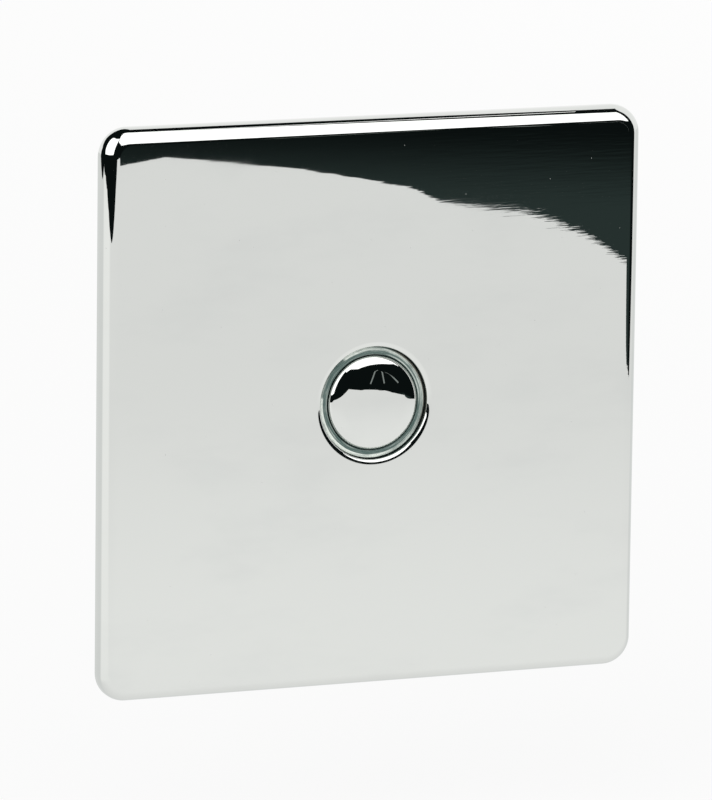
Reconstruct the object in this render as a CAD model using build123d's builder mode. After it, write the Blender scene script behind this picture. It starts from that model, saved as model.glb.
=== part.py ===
from build123d import *
import os
from math import asin, cos, degrees, radians, sin, tan

# Touch dimmer switch for a single square wall box: a clip-on pressed plate with one shallow domed button
# in a clear light ring, over a steel frame that carries the closed dimmer module.
# Millimetres. The wall surface is the plane y = 0, the front faces -Y and +Z is up.
# A height is a distance in front of the wall, so what sits inside the wall box has a negative height.

# Front plate
plate_size = 86.0
plate_depth = 3.0
plate_sheet = 0.8
plate_corner_radius = 4.35
plate_edge_radius = 2.4
button_hole_radius = 8.55
hole_lip_radius = 0.7
hole_collar_length = 1.9
pry_notch_width = 9.0
pry_notch_height = 0.9

# Mounting frame and its screws
frame_wall_gap = 0.2
frame_sheet = 1.2
frame_gap = 0.3
frame_corner_radius = 2.0
fixing_spacing = 60.3
fixing_screw_radius = 1.75
fixing_screw_length = 25.0
fixing_head_radius = 3.5
fixing_head_rise = 0.6
fixing_head_edge = 0.2
fixing_head_sink = 0.1
fixing_hole_clearance = 0.25
fixing_seat_clearance = 0.07
fixing_boss_radius = 4.6
fixing_boss_height = 1.2
fixing_neck_radius = 1.5
fixing_thread_gap = 0.3
screw_slot_width = 0.9
screw_slot_depth = 0.7
screw_tip_chamfer = 0.5

# Plate liner with its barbed legs
liner_gap = 0.3
liner_clearance = 0.2
liner_rim = 0.9
liner_rim_height = 0.2
liner_corner_radius = 2.0
liner_head_gap = 1.1
liner_opening_radius = 4.0
clip_inset_x = 7.6
clip_inset_z = 19.1
clip_width = 4.0
clip_thickness = 1.2
clip_barb = 0.7
clip_barb_gap = 0.15
clip_barb_land = 0.4
clip_length = 2.3
clip_slot_clearance = 0.25

# Heat sink plate and the housing behind it
module_clearance = 1.55
sink_sheet = 1.5
sink_margin = 1.0
sink_corner_radius = 3.0
housing_depth = 20.5
housing_wall = 1.6
housing_corner_radius = 3.0
housing_back_radius = 1.4
housing_draft = 1.0
boss_radius = 3.2
boss_inset = 4.2
boss_length = 7.0
housing_screw_radius = 1.25
housing_screw_length = 8.0
housing_head_radius = 2.6
housing_head_height = 0.6
screw_hole_clearance = 0.35
pilot_clearance = 0.05
vent_count = 5
vent_width = 1.8
vent_length = 9.0
vent_pitch = 5.0
vent_setback = 6.0
rib_width = 2.6
rib_thickness = 1.8

# Circuit board
board_sheet = 1.6
board_spacing = 6.5
board_gap = 0.55
board_edge_margin = 0.6
boss_board_gap = 0.4

# Light ring, button and their carrier
ring_gap = 0.1
ring_recess = 0.8
ring_edge_radius = 0.5
cap_radius = 7.0
cap_gap = 0.15
cap_rim_drop = 1.27
cap_crown_radius = 51.0
cap_shoulder_width = 2.25
cap_shoulder_radius = 7.1
cap_edge_radius = 1.05
cap_wall = 1.1
cap_skirt_length = 3.8
carrier_fit = 0.08
carrier_wall = 1.45
carrier_clearance = 0.3
carrier_flange_size = 22.4
carrier_flange_radius = 2.0
carrier_flange_sheet = 1.5
carrier_floor_sheet = 1.0
floor_to_board = 2.3
carrier_post_radius = 1.3
carrier_post_inset = 1.6
light_window_count = 4
light_window_width = 1.0
light_window_length = 3.4
slider_disc = 1.2
slider_fit = 0.05
stem_radius = 2.0
stem_clearance = 0.4
leg_count = 3
leg_circle_radius = 5.0
leg_width = 2.4
leg_thickness = 1.0
leg_slot_clearance = 0.2
hook_reach = 0.6
hook_height = 0.75
hook_gap = 0.05

# Push switch and the lamps under the ring
switch_size = 6.2
switch_height = 1.9
actuator_radius = 1.6
actuator_rise = 0.6
actuator_length = 1.4
actuator_clearance = 0.15
actuator_room = 0.7
led_size = 1.6
led_width = 2.8
led_height = 1.0

# Terminals
terminal_count = 3
terminal_pitch = 9.0
terminal_width = 6.8
terminal_length = 8.2
terminal_height = 8.6
terminal_bore_radius = 2.0
terminal_bore_depth = 6.8
terminal_bore_floor = 1.8
terminal_recess = 1.2
terminal_headroom = 0.6
terminal_screw_radius = 1.5
terminal_screw_clearance = 0.05
terminal_tip_gap = 0.2
terminal_head_radius = 2.4
terminal_head_height = 1.8
terminal_head_gap = 0.2
terminal_access_clearance = 0.4
block_wall = 1.6
block_inset = 0.6
block_seat_gap = 0.3
block_notch_gap = 0.2

# Earth terminal on the frame
earth_x = 20.0
earth_gap = 2.5
earth_width = 6.5
earth_length = 6.0
earth_height = 7.5
earth_bore_radius = 1.9
earth_bore_depth = 4.8
earth_bore_floor = 1.2
earth_spigot_radius = 1.8
earth_spigot_sink = 0.1

# Power device on the heat sink
triac_width = 6.2
triac_length = 9.0
triac_height = 2.7
triac_hole_from_end = 2.9
triac_pad_sheet = 0.3
triac_gap = 0.4
triac_screw_radius = 1.25
triac_head_radius = 2.3
triac_head_height = 1.5
triac_screw_end = 0.1
lead_width = 0.8
lead_thickness = 0.6
lead_pitch = 2.0
lead_reach = 2.4

# Parts on the back of the board
choke_core_inner = 3.6
choke_core_outer = 6.4
choke_core_height = 5.4
choke_wire_layer = 1.15
choke_core_gap = 0.05
choke_open_angle = 50.0
choke_z = 4.0
suppressor_length = 15.0
suppressor_width = 7.0
suppressor_height = 8.5
suppressor_z = 9.0
smoothing_radius = 2.5
smoothing_height = 7.0
smoothing_groove = 0.35
fuse_radius = 2.3
fuse_length = 9.0
fuse_cap_length = 2.0
fuse_cap_step = 0.2
fuse_inset = 1.5
fuse_z = 0.0
resistor_radius = 1.5
resistor_length = 8.0
resistor_z = -6.0
resistor_waist = 0.25
chip_length = 9.6
chip_width = 6.4
chip_height = 3.4
chip_z = -7.5
chip_pin_count = 4
chip_pin_pitch = 2.54
chip_pin_width = 0.6
chip_pin_height = 1.2
chip_pin_reach = 0.6
small_edge = 0.4

# Sizes that follow from the ones above
plate_inside = plate_depth - plate_sheet
frame_front = frame_wall_gap + frame_sheet
liner_back = frame_front + liner_clearance
liner_sheet = plate_inside - liner_back
liner_size = plate_size - 2 * (plate_edge_radius + liner_gap)
frame_size = liner_size - 2 * (liner_rim + frame_gap)
clip_offset_x = frame_size / 2 - clip_inset_x
clip_offset_z = frame_size / 2 - clip_inset_z
fixing_hole_radius = fixing_screw_radius + fixing_hole_clearance
fixing_head_top = frame_front - fixing_head_sink
housing_size = fixing_spacing - 2 * (fixing_boss_radius + module_clearance + sink_margin)
sink_size = housing_size + 2 * sink_margin
earth_z = -(sink_size / 2 + earth_gap + earth_length / 2)
sink_back = frame_wall_gap - sink_sheet
housing_back = sink_back - housing_depth
boss_offset = housing_size / 2 - boss_inset
liner_opening = 2 * (boss_offset + housing_head_radius + liner_head_gap)
screw_hole_radius = housing_screw_radius + screw_hole_clearance
housing_inner = housing_size - 2 * (housing_wall + housing_depth * tan(radians(housing_draft)))
board_size = housing_inner - 2 * board_gap
board_front = sink_back - board_spacing
board_back = board_front - board_sheet
board_reach = board_size / 2 - board_edge_margin

ring_outer = button_hole_radius - ring_gap
ring_inner = cap_radius + cap_gap
ring_front = plate_depth - ring_recess
cap_rim = plate_depth - cap_rim_drop
cap_crown_tilt = asin((cap_radius - cap_shoulder_width) / cap_crown_radius)
cap_edge_tilt = asin(
    (cap_shoulder_radius * sin(cap_crown_tilt) + cap_shoulder_width - cap_edge_radius)
    / (cap_shoulder_radius - cap_edge_radius)
)
cap_crown_rise = cap_crown_radius * (1 - cos(cap_crown_tilt))
cap_shoulder_rise = cap_shoulder_radius * (cos(cap_crown_tilt) - cos(cap_edge_tilt))
cap_apex = cap_rim + cap_edge_radius * cos(cap_edge_tilt) + cap_shoulder_rise + cap_crown_rise
cap_under = cap_rim + cap_edge_radius - cap_wall
cap_bore = cap_radius - cap_wall
slider_back = cap_under - slider_disc
carrier_bore = ring_outer + carrier_fit
carrier_radius = carrier_bore + carrier_wall
carrier_hole = carrier_radius + carrier_clearance
carrier_front = plate_depth - hole_collar_length - carrier_clearance
flange_back = sink_back - carrier_flange_sheet
floor_back = board_front + floor_to_board
floor_front = floor_back + carrier_floor_sheet
hook_front = floor_back - hook_gap
switch_front = board_front + switch_height
actuator_front = switch_front + actuator_rise

block_length = block_wall + terminal_length + terminal_recess
block_height = terminal_height + terminal_headroom + block_wall
block_width = terminal_count * terminal_pitch + block_wall
block_bottom = block_inset - housing_size / 2
terminal_bottom = block_bottom + terminal_recess
terminal_back = board_back - terminal_height
terminal_bore_height = board_back - terminal_bore_floor - terminal_bore_radius
terminal_screw_z = terminal_bottom + terminal_length / 2
terminal_spots = [(terminal_pitch * (i - (terminal_count - 1) / 2)) for i in range(terminal_count)]
triac_z = carrier_flange_size / 2 + triac_gap + triac_width / 2
triac_front = sink_back - triac_pad_sheet
triac_screw_x = triac_hole_from_end - triac_length / 2


def wall_plane(height):
    """Plane parallel to the wall, at a height in front of it, looking back at the viewer."""
    return Plane.XZ.offset(height)


def section_plane(x=0, z=0):
    """Plane through a front-to-back axis: local x is the radius and local y the height."""
    return Plane(origin=(x, 0, z), x_dir=(1, 0, 0), z_dir=(0, 0, -1))


def depth_axis(x=0, z=0):
    """Axis that runs front to back through a spot on the wall."""
    return Axis((x, 0, z), (0, 1, 0))


def corner_spots(offset_x, offset_z):
    """Four spots, mirrored about both centre lines."""
    return [(sx * offset_x, sz * offset_z) for sx in (-1, 1) for sz in (-1, 1)]


def dome_line(radius, base, rise):
    """Half of a shallow dome's section: an arc from its top to its edge."""
    sphere = (radius**2 + rise**2) / (2 * rise)
    half_drop = sphere - (sphere**2 - radius**2 / 4) ** 0.5
    return ThreePointArc((0, base + rise), (radius / 2, base + rise - half_drop), (radius, base))


fixing_spots = [(-fixing_spacing / 2, 0), (fixing_spacing / 2, 0)]
boss_spots = corner_spots(boss_offset, boss_offset)
clip_spots = corner_spots(clip_offset_x, clip_offset_z)

# Front plate: a shallow pressed pan with a drawn, rolled hole and a notch to prise it off
with BuildPart() as front_plate:
    with BuildSketch(wall_plane(0)):
        RectangleRounded(plate_size, plate_size, plate_corner_radius)
    extrude(amount=plate_depth)
    fillet(front_plate.faces().sort_by(Axis.Y)[0].edges(), plate_edge_radius)
    offset(amount=-plate_sheet, openings=front_plate.faces().sort_by(Axis.Y)[-1])
    with BuildSketch(wall_plane(plate_depth - hole_collar_length)):
        Circle(button_hole_radius + plate_sheet)
    extrude(amount=hole_collar_length - plate_sheet / 2)
    with BuildSketch(wall_plane(plate_depth)):
        Circle(button_hole_radius)
    extrude(amount=-plate_depth, mode=Mode.SUBTRACT)
    fillet(front_plate.faces().sort_by(Axis.Y)[0].inner_wires()[0].edges(), hole_lip_radius)
    with BuildSketch(wall_plane(0)):
        with Locations((0, -plate_size / 2)):
            Rectangle(pry_notch_width, 2 * plate_edge_radius)
    extrude(amount=pry_notch_height, mode=Mode.SUBTRACT)
front_plate.part.label = "front_plate"

# Plate liner: a tray bonded inside the plate, with four barbed legs that snap behind the frame
with BuildPart() as plate_liner:
    with BuildSketch(wall_plane(liner_back)):
        RectangleRounded(liner_size, liner_size, liner_corner_radius)
        RectangleRounded(liner_opening, liner_opening, liner_opening_radius, mode=Mode.SUBTRACT)
        with Locations(*fixing_spots):
            Circle(fixing_boss_radius, mode=Mode.SUBTRACT)
    extrude(amount=liner_sheet)
    with BuildSketch(wall_plane(liner_back)):
        RectangleRounded(liner_size, liner_size, liner_corner_radius)
        offset(amount=-liner_rim, kind=Kind.INTERSECTION, mode=Mode.SUBTRACT)
    extrude(amount=liner_rim_height - liner_back)
    with BuildSketch(Plane.XY.offset(clip_offset_z - clip_width / 2)):
        with BuildLine():
            leg_inner = clip_offset_x - clip_thickness / 2
            leg_outer = clip_offset_x + clip_thickness / 2
            barb_front = clip_barb_gap - frame_wall_gap
            Polyline(
                (leg_inner, -liner_back - liner_sheet / 2),
                (leg_outer, -liner_back - liner_sheet / 2),
                (leg_outer, barb_front),
                (leg_outer + clip_barb, barb_front),
                (leg_outer + clip_barb, barb_front + clip_barb_land),
                (leg_outer, clip_length - frame_wall_gap),
                (leg_inner, clip_length - frame_wall_gap),
                close=True,
            )
        make_face()
    extrude(amount=clip_width)
    mirror(about=Plane.YZ)
    mirror(about=Plane.XY)
plate_liner.part.label = "plate_liner"

# Mounting frame: pressed steel, dished round the two fixing screws
with BuildPart() as mounting_frame:
    with BuildSketch(wall_plane(frame_wall_gap)):
        RectangleRounded(frame_size, frame_size, frame_corner_radius)
        Circle(carrier_hole, mode=Mode.SUBTRACT)
        with Locations(*boss_spots):
            Circle(screw_hole_radius, mode=Mode.SUBTRACT)
        with Locations(*clip_spots):
            Rectangle(
                clip_thickness + 2 * clip_slot_clearance,
                clip_width + 2 * clip_slot_clearance,
                mode=Mode.SUBTRACT,
            )
        with Locations((earth_x, earth_z)):
            Circle(earth_spigot_radius, mode=Mode.SUBTRACT)
    extrude(amount=frame_sheet)
    with Locations(wall_plane(frame_wall_gap)):
        with Locations(*fixing_spots):
            Cone(
                fixing_boss_radius - fixing_boss_height,
                fixing_boss_radius,
                fixing_boss_height,
                align=(Align.CENTER, Align.CENTER, Align.MAX),
            )
    with Locations(wall_plane(frame_front)):
        with Locations(*fixing_spots):
            CounterSinkHole(
                fixing_hole_radius,
                fixing_head_radius + fixing_head_sink + fixing_head_edge + fixing_seat_clearance,
                counter_sink_angle=90,
            )
mounting_frame.part.label = "mounting_frame"

# Fixing screws: raised countersunk heads and a neck in the frame, threads left plain
with BuildPart() as fixing_screws:
    for spot_x, spot_z in fixing_spots:
        tip = fixing_head_top - fixing_screw_length
        cone_front = fixing_head_top - fixing_head_edge
        thread_front = frame_wall_gap - fixing_boss_height - fixing_thread_gap
        with BuildSketch(section_plane(spot_x, spot_z)):
            with BuildLine():
                dome_line(fixing_head_radius, fixing_head_top, fixing_head_rise)
                Polyline(
                    (fixing_head_radius, fixing_head_top),
                    (fixing_head_radius, cone_front),
                    (fixing_neck_radius, cone_front - fixing_head_radius + fixing_neck_radius),
                    (fixing_neck_radius, thread_front + fixing_screw_radius - fixing_neck_radius),
                    (fixing_screw_radius, thread_front),
                    (fixing_screw_radius, tip + screw_tip_chamfer),
                    (fixing_screw_radius - screw_tip_chamfer, tip),
                    (0, tip),
                    (0, fixing_head_top + fixing_head_rise),
                )
            make_face()
        revolve(axis=depth_axis(spot_x, spot_z))
    with BuildSketch(wall_plane(fixing_head_top + fixing_head_rise)):
        with Locations(*fixing_spots):
            Rectangle(3 * fixing_head_radius, screw_slot_width)
    extrude(amount=-screw_slot_depth - fixing_head_rise, mode=Mode.SUBTRACT)
fixing_screws.part.label = "fixing_screws"

# Heat sink: flat aluminium plate clamped between frame and housing
with BuildPart() as heat_sink:
    with BuildSketch(wall_plane(frame_wall_gap)):
        RectangleRounded(sink_size, sink_size, sink_corner_radius)
        Circle(carrier_hole, mode=Mode.SUBTRACT)
        with Locations(*boss_spots):
            Circle(screw_hole_radius, mode=Mode.SUBTRACT)
        with Locations((triac_screw_x, triac_z)):
            Circle(triac_screw_radius + pilot_clearance, mode=Mode.SUBTRACT)
    extrude(amount=-sink_sheet)
heat_sink.part.label = "heat_sink"

# Rear housing: moulded case with draft, corner bosses, board ribs, vents and a bay for the terminals
with BuildPart() as rear_housing:
    with BuildSketch(wall_plane(sink_back)):
        RectangleRounded(housing_size, housing_size, housing_corner_radius)
    extrude(amount=-housing_depth, taper=housing_draft)
    fillet(rear_housing.faces().sort_by(Axis.Y)[-1].edges(), housing_back_radius)
    with BuildSketch(wall_plane(sink_back)):
        RectangleRounded(housing_inner, housing_inner, housing_corner_radius / 2)
        with Locations(*boss_spots):
            Circle(boss_radius, mode=Mode.SUBTRACT)
    extrude(amount=-boss_length, mode=Mode.SUBTRACT)
    with BuildSketch(wall_plane(sink_back - boss_length)):
        RectangleRounded(housing_inner, housing_inner, housing_corner_radius / 2)
    extrude(amount=boss_length + housing_wall - housing_depth, mode=Mode.SUBTRACT)
    with BuildSketch(wall_plane(sink_back)):
        with Locations(*boss_spots):
            Circle(housing_screw_radius + pilot_clearance)
    extrude(amount=-boss_length, mode=Mode.SUBTRACT)
    with BuildSketch(wall_plane(board_back)):
        with Locations((-board_size / 2, 0), (board_size / 2, 0)):
            Rectangle(rib_width, rib_thickness)
    extrude(amount=housing_back + housing_wall / 2 - board_back)
    with BuildSketch(wall_plane(board_back + block_seat_gap)):
        with Locations((0, block_bottom + block_length + block_notch_gap)):
            Rectangle(
                block_width + 2 * block_notch_gap,
                housing_size,
                align=(Align.CENTER, Align.MAX),
            )
    extrude(amount=-housing_depth, mode=Mode.SUBTRACT)
    with BuildSketch(Plane.XY.offset(housing_size / 2)):
        with Locations((0, -sink_back + vent_setback + vent_length / 2)):
            with GridLocations(vent_pitch, 0, vent_count, 1):
                SlotOverall(vent_length, vent_width, rotation=90)
    extrude(amount=-2 * housing_wall, mode=Mode.SUBTRACT)
rear_housing.part.label = "rear_housing"

# Housing screws: thin heads on the frame, shanks in the housing's bosses
with BuildPart() as housing_screws:
    with BuildSketch(wall_plane(frame_front)):
        with Locations(*boss_spots):
            Circle(housing_head_radius)
    extrude(amount=housing_head_height)
    with BuildSketch(wall_plane(frame_front)):
        with Locations(*boss_spots):
            Circle(housing_screw_radius)
    extrude(amount=-housing_screw_length)
    with BuildSketch(wall_plane(frame_front + housing_head_height)):
        with Locations(*boss_spots):
            Rectangle(3 * housing_head_radius, screw_slot_width)
    extrude(amount=-housing_head_height / 2, mode=Mode.SUBTRACT)
housing_screws.part.label = "housing_screws"

# Button carrier: a flanged turret with a floor, light windows and slots for the button's snap legs
with BuildPart() as button_carrier:
    with BuildSketch(wall_plane(floor_back)):
        Circle(carrier_radius)
    extrude(amount=carrier_front - floor_back)
    with BuildSketch(wall_plane(sink_back)):
        RectangleRounded(carrier_flange_size, carrier_flange_size, carrier_flange_radius)
    extrude(amount=-carrier_flange_sheet)
    with BuildSketch(wall_plane(flange_back)):
        post_offset = carrier_flange_size / 2 - carrier_post_inset
        with Locations(*corner_spots(post_offset, post_offset)):
            Circle(carrier_post_radius)
    extrude(amount=board_front - flange_back)
    with BuildSketch(wall_plane(floor_front)):
        Circle(carrier_bore)
    extrude(amount=carrier_front - floor_front, mode=Mode.SUBTRACT)
    with BuildSketch(wall_plane(floor_front)):
        Circle(stem_radius + stem_clearance)
        with PolarLocations(leg_circle_radius, leg_count, start_angle=90):
            Rectangle(leg_thickness + 2 * leg_slot_clearance, leg_width + 2 * leg_slot_clearance)
        with PolarLocations((ring_inner + ring_outer) / 2, light_window_count, start_angle=45):
            Rectangle(light_window_width, light_window_length)
    extrude(amount=-carrier_floor_sheet, mode=Mode.SUBTRACT)
button_carrier.part.label = "button_carrier"

# Light ring: clear tube that stands on the carrier's floor and fills the plate's hole
with BuildPart() as light_ring:
    with BuildSketch(section_plane()) as ring_section:
        with BuildLine():
            Polyline(
                (ring_inner, floor_front),
                (ring_outer, floor_front),
                (ring_outer, ring_front),
                (ring_inner, ring_front),
                close=True,
            )
        make_face()
        fillet(
            ring_section.vertices().group_by(Axis.Y)[-1],
            min(ring_edge_radius, (ring_outer - ring_inner) / 2.2),
        )
    revolve(axis=depth_axis())
light_ring.part.label = "light_ring"

# Button cap: plated shell with a shallow crown, a rounder shoulder, a round edge and a skirt
with BuildPart() as button_cap:
    with BuildSketch(section_plane()):
        with BuildLine():
            crown = JernArc((0, cap_apex), (1, 0), cap_crown_radius, -degrees(cap_crown_tilt))
            shoulder_turn = degrees(cap_crown_tilt - cap_edge_tilt)
            shoulder = JernArc(crown @ 1, crown % 1, cap_shoulder_radius, shoulder_turn)
            JernArc(shoulder @ 1, shoulder % 1, cap_edge_radius, degrees(cap_edge_tilt) - 90)
            Polyline(
                (cap_radius, cap_rim),
                (cap_radius, cap_rim - cap_skirt_length),
                (cap_bore, cap_rim - cap_skirt_length),
                (cap_bore, cap_under),
                (0, cap_under),
                (0, cap_apex),
            )
        make_face()
    revolve(axis=depth_axis())
button_cap.part.label = "button_cap"

# Button slider: disc bonded in the cap, with a central stem and hooked snap legs
with BuildPart() as button_slider:
    with BuildSketch(wall_plane(cap_under)):
        Circle(cap_bore - slider_fit)
    extrude(amount=-slider_disc)
    with BuildSketch(wall_plane(slider_back)):
        Circle(stem_radius)
    extrude(amount=actuator_front - slider_back)
    with BuildSketch(wall_plane(slider_back)):
        with PolarLocations(leg_circle_radius, leg_count, start_angle=90):
            Rectangle(leg_thickness, leg_width)
    extrude(amount=hook_front - hook_height - slider_back)
    with BuildSketch(wall_plane(hook_front)):
        with PolarLocations(leg_circle_radius + hook_reach / 2, leg_count, start_angle=90):
            Rectangle(leg_thickness + hook_reach, leg_width)
    extrude(amount=-hook_height)
button_slider.part.label = "button_slider"

# Push switch on the front of the board
with BuildPart() as switch_body:
    with BuildSketch(wall_plane(board_front)):
        Rectangle(switch_size, switch_size)
    extrude(amount=switch_height)
    chamfer(switch_body.edges().filter_by(Axis.Y), small_edge)
    with BuildSketch(wall_plane(switch_front)):
        Circle(actuator_radius + actuator_clearance)
    extrude(amount=actuator_rise - actuator_length - actuator_room, mode=Mode.SUBTRACT)
switch_body.part.label = "switch_body"

with BuildPart() as switch_actuator:
    with BuildSketch(wall_plane(actuator_front)):
        Circle(actuator_radius)
    extrude(amount=-actuator_length)
    chamfer(switch_actuator.faces().sort_by(Axis.Y)[-1].edges(), actuator_clearance)
switch_actuator.part.label = "switch_actuator"

# Circuit board with notched corners
with BuildPart() as circuit_board:
    with BuildSketch(wall_plane(board_back)):
        Rectangle(board_size, board_size)
        with Locations(*boss_spots):
            Circle(boss_radius + boss_board_gap, mode=Mode.SUBTRACT)
        with Locations(*corner_spots(board_size / 2, board_size / 2)):
            Rectangle(boss_inset, boss_inset, mode=Mode.SUBTRACT)
    extrude(amount=board_sheet)
circuit_board.part.label = "circuit_board"

# Lamps under the windows of the carrier
with BuildPart() as indicator_leds:
    with BuildSketch(wall_plane(board_front)):
        with PolarLocations((ring_inner + ring_outer) / 2, light_window_count, start_angle=45):
            Rectangle(led_size, led_width)
    extrude(amount=led_height)
indicator_leds.part.label = "indicator_leds"

# Power device, its insulating pad and the screw into the heat sink
with BuildPart() as triac:
    with BuildSketch(wall_plane(triac_front)):
        with Locations((0, triac_z)):
            Rectangle(triac_length, triac_width)
    extrude(amount=-triac_height)
    chamfer(triac.faces().sort_by(Axis.Y)[-1].edges(), small_edge)
    lead_front = -triac_front + triac_height / 2
    for lead_step in (-1, 0, 1):
        with BuildSketch(Plane.XY.offset(triac_z + lead_step * lead_pitch - lead_width / 2)):
            with BuildLine():
                Polyline(
                    (triac_length / 2 - small_edge, lead_front),
                    (triac_length / 2 + lead_reach, lead_front),
                    (triac_length / 2 + lead_reach, -board_front),
                    (triac_length / 2 + lead_reach - lead_thickness, -board_front),
                    (triac_length / 2 + lead_reach - lead_thickness, lead_front + lead_thickness),
                    (triac_length / 2 - small_edge, lead_front + lead_thickness),
                    close=True,
                )
            make_face()
        extrude(amount=lead_width)
    with BuildSketch(wall_plane(triac_front)):
        with Locations((triac_screw_x, triac_z)):
            Circle(triac_screw_radius + screw_hole_clearance)
    extrude(amount=-triac_height, mode=Mode.SUBTRACT)
triac.part.label = "triac"

with BuildPart() as triac_pad:
    with BuildSketch(wall_plane(sink_back)):
        with Locations((0, triac_z)):
            Rectangle(triac_length + triac_gap, triac_width + triac_gap)
        with Locations((triac_screw_x, triac_z)):
            Circle(triac_screw_radius + screw_hole_clearance, mode=Mode.SUBTRACT)
    extrude(amount=-triac_pad_sheet)
triac_pad.part.label = "triac_pad"

with BuildPart() as triac_screw:
    with BuildSketch(wall_plane(triac_front - triac_height)):
        with Locations((triac_screw_x, triac_z)):
            Circle(triac_head_radius)
    extrude(amount=-triac_head_height)
    with BuildSketch(wall_plane(triac_front - triac_height)):
        with Locations((triac_screw_x, triac_z)):
            Circle(triac_screw_radius)
    extrude(amount=triac_height - triac_front - triac_screw_end)
triac_screw.part.label = "triac_screw"

# Interference choke: ring core in an open winding
choke_radius = choke_core_outer + choke_core_gap + choke_wire_layer
choke_x = choke_radius - board_reach
choke_middle = board_back - choke_wire_layer - choke_core_gap - choke_core_height / 2
choke_core_mean = (choke_core_inner + choke_core_outer) / 2
choke_core_width = choke_core_outer - choke_core_inner
with BuildPart() as choke_core:
    with BuildSketch(section_plane(choke_x, choke_z)):
        with Locations((choke_core_mean, choke_middle)):
            RectangleRounded(choke_core_width, choke_core_height, small_edge)
    revolve(axis=depth_axis(choke_x, choke_z))
choke_core.part.label = "choke_core"

with BuildPart() as choke_winding:
    with BuildSketch(section_plane(choke_x, choke_z)):
        with Locations((choke_core_mean, choke_middle)):
            winding_grow = 2 * (choke_core_gap + choke_wire_layer)
            RectangleRounded(
                choke_core_width + winding_grow, choke_core_height + winding_grow, choke_wire_layer
            )
            Rectangle(
                choke_core_width + 2 * choke_core_gap,
                choke_core_height + 2 * choke_core_gap,
                mode=Mode.SUBTRACT,
            )
    revolve(axis=depth_axis(choke_x, choke_z), revolution_arc=360 - choke_open_angle)
choke_winding.part.label = "choke_winding"

# Suppression capacitor: filled plastic box
with BuildPart() as suppression_capacitor:
    with BuildSketch(wall_plane(board_back)):
        with Locations((board_reach - suppressor_length / 2, suppressor_z)):
            Rectangle(suppressor_length, suppressor_width)
    extrude(amount=-suppressor_height)
    fillet(suppression_capacitor.edges().filter_by(Axis.Y), small_edge)
suppression_capacitor.part.label = "suppression_capacitor"

# Smoothing capacitor: can with a rolled groove near the board
with BuildPart() as smoothing_capacitor:
    smoothing_z = board_reach - smoothing_radius
    with BuildSketch(section_plane(0, smoothing_z)):
        with Locations((0, board_back)):
            Rectangle(smoothing_radius, smoothing_height, align=(Align.MIN, Align.MAX))
        with Locations((smoothing_radius, board_back - smoothing_height / 5)):
            Circle(smoothing_groove, mode=Mode.SUBTRACT)
    revolve(axis=depth_axis(0, smoothing_z))
smoothing_capacitor.part.label = "smoothing_capacitor"

# Fuse: tube with two end caps, lying along X
with BuildPart() as fuse:
    fuse_x = board_reach - fuse_inset - fuse_length / 2
    fuse_axis_height = board_back - fuse_radius
    with BuildSketch(Plane.XY.offset(fuse_z)):
        with Locations((fuse_x, -fuse_axis_height)):
            Rectangle(fuse_length, fuse_radius - fuse_cap_step, align=(Align.CENTER, Align.MIN))
        cap_shift = (fuse_length - fuse_cap_length) / 2
        with Locations((fuse_x - cap_shift, -fuse_axis_height), (fuse_x + cap_shift, -fuse_axis_height)):
            Rectangle(fuse_cap_length, fuse_radius, align=(Align.CENTER, Align.MIN))
    revolve(axis=Axis((fuse_x, -fuse_axis_height, fuse_z), (1, 0, 0)))
fuse.part.label = "fuse"

# Dropper resistor: waisted body, lying along X
with BuildPart() as dropper_resistor:
    resistor_x = board_reach - fuse_inset - resistor_length / 2
    resistor_y = resistor_radius - board_back
    with BuildSketch(Plane.XY.offset(resistor_z)):
        with BuildLine():
            Polyline(
                (resistor_x + resistor_length / 2, resistor_y + resistor_radius),
                (resistor_x + resistor_length / 2, resistor_y),
                (resistor_x - resistor_length / 2, resistor_y),
                (resistor_x - resistor_length / 2, resistor_y + resistor_radius),
            )
            ThreePointArc(
                (resistor_x - resistor_length / 2, resistor_y + resistor_radius),
                (resistor_x, resistor_y + resistor_radius - resistor_waist),
                (resistor_x + resistor_length / 2, resistor_y + resistor_radius),
            )
        make_face()
    revolve(axis=Axis((resistor_x, resistor_y, resistor_z), (1, 0, 0)))
dropper_resistor.part.label = "dropper_resistor"

# Control chip with two rows of pins
with BuildPart() as control_chip:
    chip_x = chip_length / 2 - board_reach
    with BuildSketch(wall_plane(board_back)):
        with Locations((chip_x, chip_z)):
            with GridLocations(chip_pin_pitch, chip_width + chip_pin_reach, chip_pin_count, 2):
                Rectangle(chip_pin_width, chip_pin_reach)
    extrude(amount=-chip_pin_height)
    with BuildSketch(wall_plane(board_back)):
        with Locations((chip_x, chip_z)):
            Rectangle(chip_length, chip_width)
    extrude(amount=-chip_height)
control_chip.part.label = "control_chip"

# Terminal block: a comb of walls with a drilled back
with BuildPart() as terminal_block:
    with BuildSketch(wall_plane(board_back)):
        with Locations((0, block_bottom)):
            Rectangle(block_width, block_length, align=(Align.CENTER, Align.MIN))
    extrude(amount=-block_height)
    chamfer(terminal_block.faces().sort_by(Axis.Y)[-1].edges(), small_edge)
    with BuildSketch(wall_plane(board_back)):
        with Locations(*[(spot, block_bottom) for spot in terminal_spots]):
            Rectangle(
                terminal_pitch - block_wall,
                block_length - block_wall,
                align=(Align.CENTER, Align.MIN),
            )
    extrude(amount=block_wall - block_height, mode=Mode.SUBTRACT)
    with BuildSketch(wall_plane(board_back - block_height)):
        with Locations(*[(spot, terminal_screw_z) for spot in terminal_spots]):
            Circle(terminal_head_radius + terminal_access_clearance)
    extrude(amount=block_wall, mode=Mode.SUBTRACT)
terminal_block.part.label = "terminal_block"


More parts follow.
